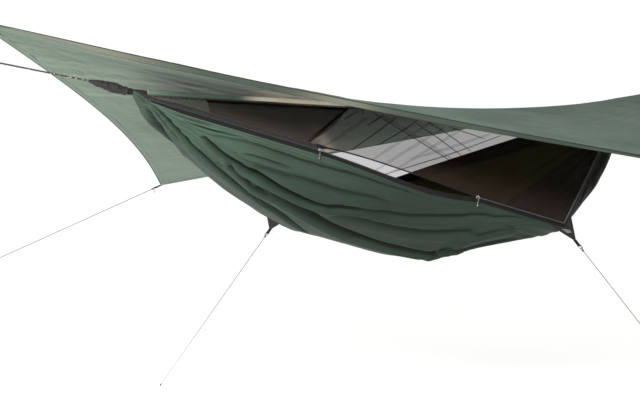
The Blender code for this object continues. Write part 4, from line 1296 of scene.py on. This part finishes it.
def zip_wire(bm, places, radius, wire):
    """A wire coil along a line of places; returns the line's length."""
    lengths = [0.0]
    for a, b in zip(places, places[1:]):
        lengths.append(lengths[-1] + (b - a).length)
    total = lengths[-1]

    def line_at(share):
        goal = share * total
        i = 0
        while i < len(lengths) - 2 and lengths[i + 1] < goal:
            i += 1
        place = places[i].lerp(places[i + 1], (goal - lengths[i]) / (lengths[i + 1] - lengths[i]))
        along = (places[i + 1] - places[i]).normalized()
        one = along.cross(lower_tape_down).normalized()
        return place, one, along.cross(one)

    add_coil(bm, line_at, total / coil_pitch, radius, wire, 8, 4)
    return total


def lower_lip_point(x):
    """The middle of the coil on the opening's lower lip."""
    out = coil_radius + running_gap - touch_gap - lip_radius
    lower = lower_tape_down * (out + opening_sag * open_share(x, opening_sag_skew))
    return edge_point(near, x) + lower + Vector((0, -lip_curl * open_share(x, opening_sag_skew), 0))


lip_drop = (touch_gap + lip_radius) * steep_share
lips_x = [between(i / 24, open_from, open_to) for i in range(25)]
bm = bmesh.new()
coil_sum = 0.0
for stations in ((sewn_x(0), open_from), (open_to, near_corner_x, sewn_x(1))):
    coil_sum += zip_wire(bm, [edge_point(near, x) for x in stations], closed_coil, closed_wire)
upper_lip = [on_net(near, x, upper_tape_low(x) + lip_drop) for x in lips_x]
for lip in (upper_lip, [lower_lip_point(x) for x in lips_x]):
    coil_sum += zip_wire(bm, lip, lip_coil, lip_wire)
# The coil right of the opening is drawn grey as a painted highlight, the glints on its turns; the rest is
# black.
second_look(bm, lambda middle: middle.x <= open_to)
piece("zip_coil_wire", bm, [highlight_coil_look, dark_coil_look], "zip_coil")
print("zip coil", round(coil_sum, 2), "m")

# %% [markdown]
# ## The sliders and their pulls
# A slider is a small zinc casting: a flat body with a bail over it. Its pull is a thin cord tied in
# a long loop, twisted on itself, so it is drawn as two strands that wind round each other.

# %% Sliders and pulls
slider_length, slider_width, slider_thickness = 0.017, 0.011, 0.0026
bail_height, bail_bar = 0.0060, 0.0018
pull_run, pull_half, pull_strand = 0.036, 0.0024, 0.0011
pull_twist, pull_untwisted = radians(540), 0.006
pull_knot_from, pull_knot_length, pull_tail_from, pull_tail_length = -0.003, 0.007, -0.004, 0.0115


def square_to_track(direction):
    """A direction turned as little as it can be to stand square to the zip."""
    return (direction - track * direction.dot(track)).normalized()


outward = square_to_track(Vector((0, -1, 0.25)))
pull_hang = square_to_track(Vector((0, -0.30, -1)))


def zip_slider(name, along):
    """A slider with its bail; returns the middle of the bail's bar."""
    place = edge_point(near, 0) + track * along + outward * (coil_radius + running_gap)
    bm = bmesh.new()
    bm.loops.layers.uv.verify()
    made = bmesh.ops.create_cube(bm, size=1, calc_uvs=True)
    for vertex in made["verts"]:
        x, y, z = vertex.co
        nose = 0.78 if x > 0 else 1.0
        vertex.co = (x * slider_length, (y + 0.5) * slider_thickness, z * slider_width * nose)
    bmesh.ops.bevel(bm, geom=bm.edges[:], offset=0.0010, segments=3, profile=0.5, affect="EDGES", material=-1)
    high = slider_thickness + bail_height - bail_bar / 2
    line = [(-0.0052, slider_thickness * 0.6), (-0.0050, high * 0.6), (-0.0036, high * 0.92), (-0.0018, high)]
    line += [(0, high)] + [(-x, y) for x, y in reversed(line)]
    add_tube(bm, [Vector((x, y, 0)) for x, y in line], 0.0010, 10)
    bmesh.ops.transform(bm, matrix=frame_of(place, track, outward), verts=bm.verts)
    piece(name + "_casting", bm, slider_look, name, name, sharp=45)
    return place + outward * high


def zip_pull(name, bar):
    """A cord pull: two strands twisted together below the bail, closed by a knot."""
    here = frame_at(bar, pull_hang, outward)
    loop = []
    for i in range(96):
        around = 2 * pi * i / 96
        x = (0.5 - 0.5 * cos(around)) * pull_run
        wide = pull_half * sin(around)
        twist = pull_twist * eased((x - pull_untwisted) / (pull_run - pull_untwisted))
        strand = Vector((x - pull_strand, wide * sin(twist), wide * cos(twist) if x > 0 else wide))
        loop.append(here @ strand)
    bm = bmesh.new()
    add_tube(bm, loop, pull_strand, 8, closed=True)
    add_winding(bm, here, pull_run + pull_knot_from, pull_knot_length, 3.2, 2 * pull_strand, pull_strand)
    add_rod(bm, here, pull_run + pull_tail_from, pull_tail_length, 0.0018)
    piece(name + "_cord", bm, pull_look, name, name)


for side_name, along in (("left", left_slider_at), ("right", right_slider_at)):
    zip_pull("zip_pull_" + side_name, zip_slider("zip_slider_" + side_name, along))

# %% [markdown]
# ## Gathers, lashings and sleeves
# At each end the cloth is drawn into a bundle of pleats, lashed with twine, and the rope's end is
# covered by a crumpled black sleeve. The bundle is a cone whose radius goes in and out round it.

# %% Gathered ends
bed_section_share = 0.7
gather_steps = 180
gather_flat = 0.6
neck_radius = 0.0092
twine = 0.0013
sleeve_thin, sleeve_thick, sleeve_hole = 0.0050, 0.0175, 0.0032
bundle_pleats, pleat_swing, bundle_share, bundle_wave = 26, 9, 0.94, 0.13
sleeve_shape = (
    (0, 0), (0.0005, 0.9), (0.10, 0.80), (0.28, 1), (0.48, 0.86), (0.72, 0.56), (0.9995, 0), (1, -0.4),
)


def section_point(at, share):
    """A point round the whole tent's section: the bed first, then the net roof."""
    if share < bed_section_share:
        return bed_cloth_point(at, share / bed_section_share)
    over = (share - bed_section_share) / (1 - bed_section_share)
    ridge = Vector((at, 0, ridge_tape_above))
    if over < 0.5:
        return bed_cloth_point(at, 1).lerp(ridge, over * 2)
    return ridge.lerp(bed_cloth_point(at, 0), over * 2 - 1)


def gathered_end(name, cad, end_x, inward):
    """The pleated cone from the lashing to where the bed starts."""
    wide_x = end_x + inward * gather_length
    neck_x = end_x + inward * (whipping_length / 2 + touch_gap)
    section = [section_point(wide_x, i / gather_steps) for i in range(gather_steps)]
    middle = sum(section, Vector()) / gather_steps

    def place(u, v):
        angle = 2 * pi * (u - bed_section_share / 2)
        neck = Vector((neck_x, neck_radius * sin(angle), -neck_radius * cos(angle)))
        bend = (eased(v) + v) / 2
        centre = Vector((neck_x, 0, 0)).lerp(middle, bend)
        off = neck.lerp(section[round(u * gather_steps) % gather_steps], bend) - centre
        around = bundle_pleats * u + 0.5 * sin(pleat_swing * u)
        pleat = sin(2 * pi * around) * sin(pi * min(1, v)) ** 0.7
        return centre + off * (bundle_share + bundle_wave * pleat)

    bm = bmesh.new()
    uv = bm.loops.layers.uv.verify()
    for face in add_surface(bm, gather_steps, 16, place, (gather_flat, gather_length)):
        share = sum(loop[uv].uv.x for loop in face.loops) / len(face.loops) / gather_flat
        face.material_index = 1 if share > bed_section_share else 0
    bmesh.ops.remove_doubles(bm, verts=bm.verts, dist=merge_distance)
    piece(name, bm, [bed_cloth_look, black_cloth_look], cad, thickness=0.0008)


def lashing(name, cad, end_x):
    """Twine wound round the neck, seven turns side by side, over a second layer."""
    here = Matrix.Translation((end_x, 0, 0))
    run = whipping_length - 2 * twine
    bm = bmesh.new()
    add_winding(bm, here, -run / 2, run, 7, whipping_radius - twine, twine, 28, 8)
    add_rod(bm, here, -whipping_length / 2, whipping_length, whipping_radius - 0.0024, 28)
    piece(name, bm, thread_look, cad)


def sleeve_radius(share):
    """The sleeve's radius: wide near the lashing, pinched to the rope."""
    for (a, low), (b, high) in zip(sleeve_shape, sleeve_shape[1:]):
        if share <= b:
            return between(between(eased((share - a) / (b - a)), low, high), sleeve_thin, sleeve_thick)
    return sleeve_thin


def rope_sleeve(name, cad, start, along, run):
    """A crumpled cloth sleeve, closed at its wide end."""
    here = frame_at(start, along)

    def place(u, v):
        if u < 0.001:
            return start
        angle = 2 * pi * v
        y, z = cos(angle), sin(angle)
        lump = uneven(y * 1.6, z * 1.6, u * 7 + start.x * 3)
        crease = abs(uneven(y * 2.6, z * 2.6, u * 12 + 5))
        crush = 0.22 * lump - 0.30 * crease + 0.10 + 0.09 * uneven(y * 6, z * 6, u * 26)
        radius = sleeve_radius(u) if u < 0.999 else sleeve_hole
        radius *= 1 + sin(pi * u) ** 0.5 * crush
        return here @ Vector((u * run, radius * y, radius * z))

    bm = bmesh.new()
    add_surface(bm, 90, 64, place, (run, 0.1))
    bmesh.ops.remove_doubles(bm, verts=bm.verts, dist=merge_distance)
    bmesh.ops.holes_fill(bm, edges=[edge for edge in bm.edges if edge.is_boundary], sides=0)
    bmesh.ops.recalc_face_normals(bm, faces=bm.faces)
    piece(name, bm, black_cloth_look, cad)


for side_name, end_x, inward in (("left", 0.0, 1), ("right", ridge_end, -1)):
    gathered_end(side_name + "_gathered_cloth", side_name + "_gather", end_x, inward)
    lashing(side_name + "_lashing", side_name + "_whipping", end_x)
rope_sleeve("left_rope_sleeve", "left_sleeve", *left_sleeve)
rope_sleeve("right_rope_sleeve", "right_sleeve", *right_sleeve)

# %% Ridgeline cord
ridgeline_z, ridgeline_radius = -0.014, 0.0016
ridgeline_inset = gather_length - 0.001
bm = bmesh.new()
here = Matrix.Translation((ridgeline_inset, 0, ridgeline_z))
add_rod(bm, here, 0, ridge_end - 2 * ridgeline_inset, ridgeline_radius, 12, 40)
piece("ridgeline_cord", bm, rope_look, "ridgeline")

# %% [markdown]
# ## Corner patches, tabs and rings
# Each bed corner ends in a black patch that spreads the guy line's pull, and each corner of tent and
# fly has a webbing tab folded round a D-ring. A tab is one strip bent round the ring's bar.

# %% Patches and the label
label_cloth = 0.0008
label_shares = ((0.30, 0.26), (0.62, 0.34), (0.66, 0.58), (0.36, 0.52))


def patch_point(side, u, v):
    """A point of a corner patch: u follows its upper edge, v runs to its tip."""
    tip = patch_tip(side) + Vector((-side * strap_width * (u - 0.5), 0, 0))
    return patch_edge(side, u).lerp(tip, v)


for side, name in side_names.items():
    bm = bmesh.new()
    add_surface(bm, 36, 24, lambda u, v: patch_point(side, u, v), (0.19, 0.07))
    name += "_corner_"
    looks = [black_cloth_look]
    piece(name + "reinforcement", bm, looks, name + "patch", thickness=patch_cloth)

label_across = patch_point(near, 0.3, 0.5) - patch_point(near, 0.7, 0.5)
label_down = patch_point(near, 0.5, 1.0) - patch_point(near, 0.5, 0.0)
label_out = label_across.cross(label_down).normalized()
label_lift = copysign((patch_thickness + label_cloth) / 2 + 0.0005, -label_out.y)
label_corners = [patch_point(near, u, v) + label_out * label_lift for u, v in label_shares]


def label_point(u, v):
    """A point of the bare label sewn on the near patch."""
    a, b, c, d = label_corners
    return a.lerp(b, u).lerp(d.lerp(c, u), v)


bm = bmesh.new()
add_surface(bm, 12, 8, label_point, (0.04, 0.02))
piece("plain_woven_label", bm, label_look, "corner_label", thickness=0.0007)


# %% Tabs and rings
stitches_at = (0.006, 0.020)


def webbing_tab(prefix, here):
    """A strip of webbing folded round the ring's bar, its two ends sewn together."""
    side_view = here @ Matrix.Translation((-strap_length, 0, 0))
    eye = ring_wire + 0.0005 + strap_thickness / 2
    half = strap_thickness / 2 + 0.00005
    start_angle = degrees(asin(half / eye))
    line = [(0.0, -half), (strap_length * 0.5, -half)]
    line += arc((strap_length, 0), eye, -180 + start_angle, 180 - start_angle, 20)
    line += [(strap_length * 0.5, half), (0.0, half)]
    run = sum(dist(a, b) for a, b in zip(line, line[1:]))
    steps = len(line) - 1

    def place(u, v):
        x, z = line[round(u * steps)]
        return side_view @ Vector((x, (v - 0.5) * strap_width, z))

    bm = bmesh.new()
    add_surface(bm, steps, 6, place, (run, strap_width))
    for crossing in stitches_at:
        stitch = [((i / 8 - 0.5) * strap_width * 0.8, strap_thickness + 0.0001) for i in range(9)]
        add_tube(bm, [side_view @ Vector((crossing, y, z)) for y, z in stitch], 0.0005, 6)
    strap = prefix + "_strap"
    piece(prefix + "_tab", bm, webbing_look, strap, thickness=strap_thickness - 0.0002)


def d_ring(prefix, here, body):
    """A D-shaped wire ring whose straight bar lies in the tab's eye."""
    corner = ring_wire * 2
    points = arc((corner, -ring_half_width + corner), corner, 180, 270, 6)
    points += arc((ring_straight, 0), ring_half_width, -90, 90, 24)
    points += arc((corner, ring_half_width - corner), corner, 90, 180, 6)
    bm = bmesh.new()
    add_tube(bm, [here @ Vector((x, y, 0)) for x, y in points], ring_wire, 12, closed=True)
    piece(prefix + "_d_ring", bm, ring_look, prefix + "_ring", body)


for prefix, (here, along) in bar_frames.items():
    webbing_tab(prefix, here)
    d_ring(prefix, here, prefix + ("_guy" if prefix in ("near_tie", "far_tie", "fly_far") else "_ring"))

# %% Hooks
left_hook_at, right_hook_at = 1.003, 1.091
ridge_loop_radius, ridge_loop_wire = 0.0042, 0.0009
ridge_loop_z = ridgeline_z + ridgeline_radius + touch_gap + ridge_loop_wire - ridge_loop_radius


def wire_hook(name, here, look, slot, eye_radius, wire, length, bend_radius):
    """A hook bent from wire: an eye, a straight shank and a round bend."""
    bm = bmesh.new()
    eye = [here @ Vector((0, y, z)) for y, z in ring((0, -eye_radius), eye_radius, 20)]
    add_tube(bm, eye, wire, 10, closed=True)
    foot = -2 * eye_radius - length
    line = [(0, -2 * eye_radius + wire * 0.3), (0, foot + length * 0.5), (0, foot)]
    line += arc((bend_radius, foot), bend_radius, 180, 400, 14)[1:]
    add_tube(bm, [here @ Vector((0, y, z)) for y, z in line], wire * 1.15, 10)
    piece(name + "_wire", bm, look, name, name)


for side_name, at in (("left", left_hook_at), ("right", right_hook_at)):
    loop_name = "ridge_loop_" + side_name
    bm = bmesh.new()
    loop = [Vector((at, y, z)) for y, z in ring((0, ridge_loop_z), ridge_loop_radius, 28)]
    add_tube(bm, loop, ridge_loop_wire, 10, closed=True)
    piece(loop_name + "_cord", bm, thread_look, loop_name, loop_name)
    top = ridge_loop_z - ridge_loop_radius + 2 * ridge_loop_wire + touch_gap
    here = Matrix.Translation((at, 0, top)) @ Matrix.Rotation(radians(90), 4, "Z")
    sizes = {"eye_radius": 0.0026, "wire": 0.0009, "length": 0.013, "bend_radius": 0.003}
    wire_hook("ridge_hook_" + side_name, here, hook_look, "hook_black", **sizes)

bar = bar_frames["fly_far"][0]
leg_top = bar @ Vector((ring_straight, ring_half_width, 0)) + Vector((0, 0, ring_wire + touch_gap + 0.001))
here = frame_at(leg_top, bar.to_3x3().col[0])
sizes = {"eye_radius": 0.004, "wire": 0.001, "length": 0.016, "bend_radius": 0.0042}
wire_hook("fly_far_hook", here, ring_look, "ring_metal", **sizes)
print("rings and tabs", len(bar_frames))

# %% [markdown]
# ## Floor, light and air
# The tent is shown in an even white studio: a pale floor under it, white air round it, and one soft
# lamp above the camera and to its left, which gives the folds their shape.

# %% Floor and light
floor_z = cad_box[0][2] - 0.010
floor_half = 30
bm = bmesh.new()
bmesh.ops.create_grid(bm, x_segments=4, y_segments=4, size=floor_half)
bmesh.ops.translate(bm, vec=(0, 0, floor_z), verts=bm.verts)
floor_mesh = bpy.data.meshes.new("studio_floor")
bm.to_mesh(floor_mesh)
bm.free()
floor_look = Finish("matt_white_floor", {"Roughness": 0.95, "Specular IOR Level": 0.0})
floor_look.set({"Base Color": floor_look.blend(floor_look.cloud(0.6, 2.0), "f8f8f6", "fcfcfa")})
floor_mesh.materials.append(floor_look.material)
floor = bpy.data.objects.new("studio_floor", floor_mesh)
scene.collection.objects.link(floor)

world = bpy.data.worlds.new("white_air")
world.use_nodes = True
air = world.node_tree
direction = node(air, "TexCoord", {}, "Generated")
height = node(air, "SeparateXYZ", {0: direction}, "Z")
low_air = node(air, "MapRange", {0: height, 1: 0.19, 2: 0.32, 3: 1.03, 4: 1.50})
high_air = node(air, "MapRange", {0: height, 1: 0.40, 2: 0.90, 3: 1.0, 4: 0.76})
behind = node(air, "VectorMath", {0: direction, 1: (0.62, -0.78, 0.0)}, "Value", operation="DOT_PRODUCT")
room = node(air, "MapRange", {0: behind, 1: 0.05, 2: 0.80, 3: 1.0, 4: 0.36})
overhead = node(air, "Math", {0: low_air, 1: high_air}, operation="MULTIPLY")
strength = node(air, "Math", {0: overhead, 1: room}, operation="MULTIPLY")
feed(air, air.nodes["Background"], {"Strength": strength, "Color": "ffffff"})
scene.world = world

lamp_place, lamp_aim = Vector((-1.9, -2.6, 0.90)), Vector((0.6, -0.3, -0.3))
key = bpy.data.lights.new("key_lamp", "AREA")
key.shape = "RECTANGLE"
key.size, key.size_y = 0.9, 0.7
key.energy = 300
lamp = bpy.data.objects.new("key_lamp", key)
lamp.location = lamp_place
lamp.rotation_euler = (lamp_aim - lamp_place).to_track_quat("-Z", "Y").to_euler()
scene.collection.objects.link(lamp)
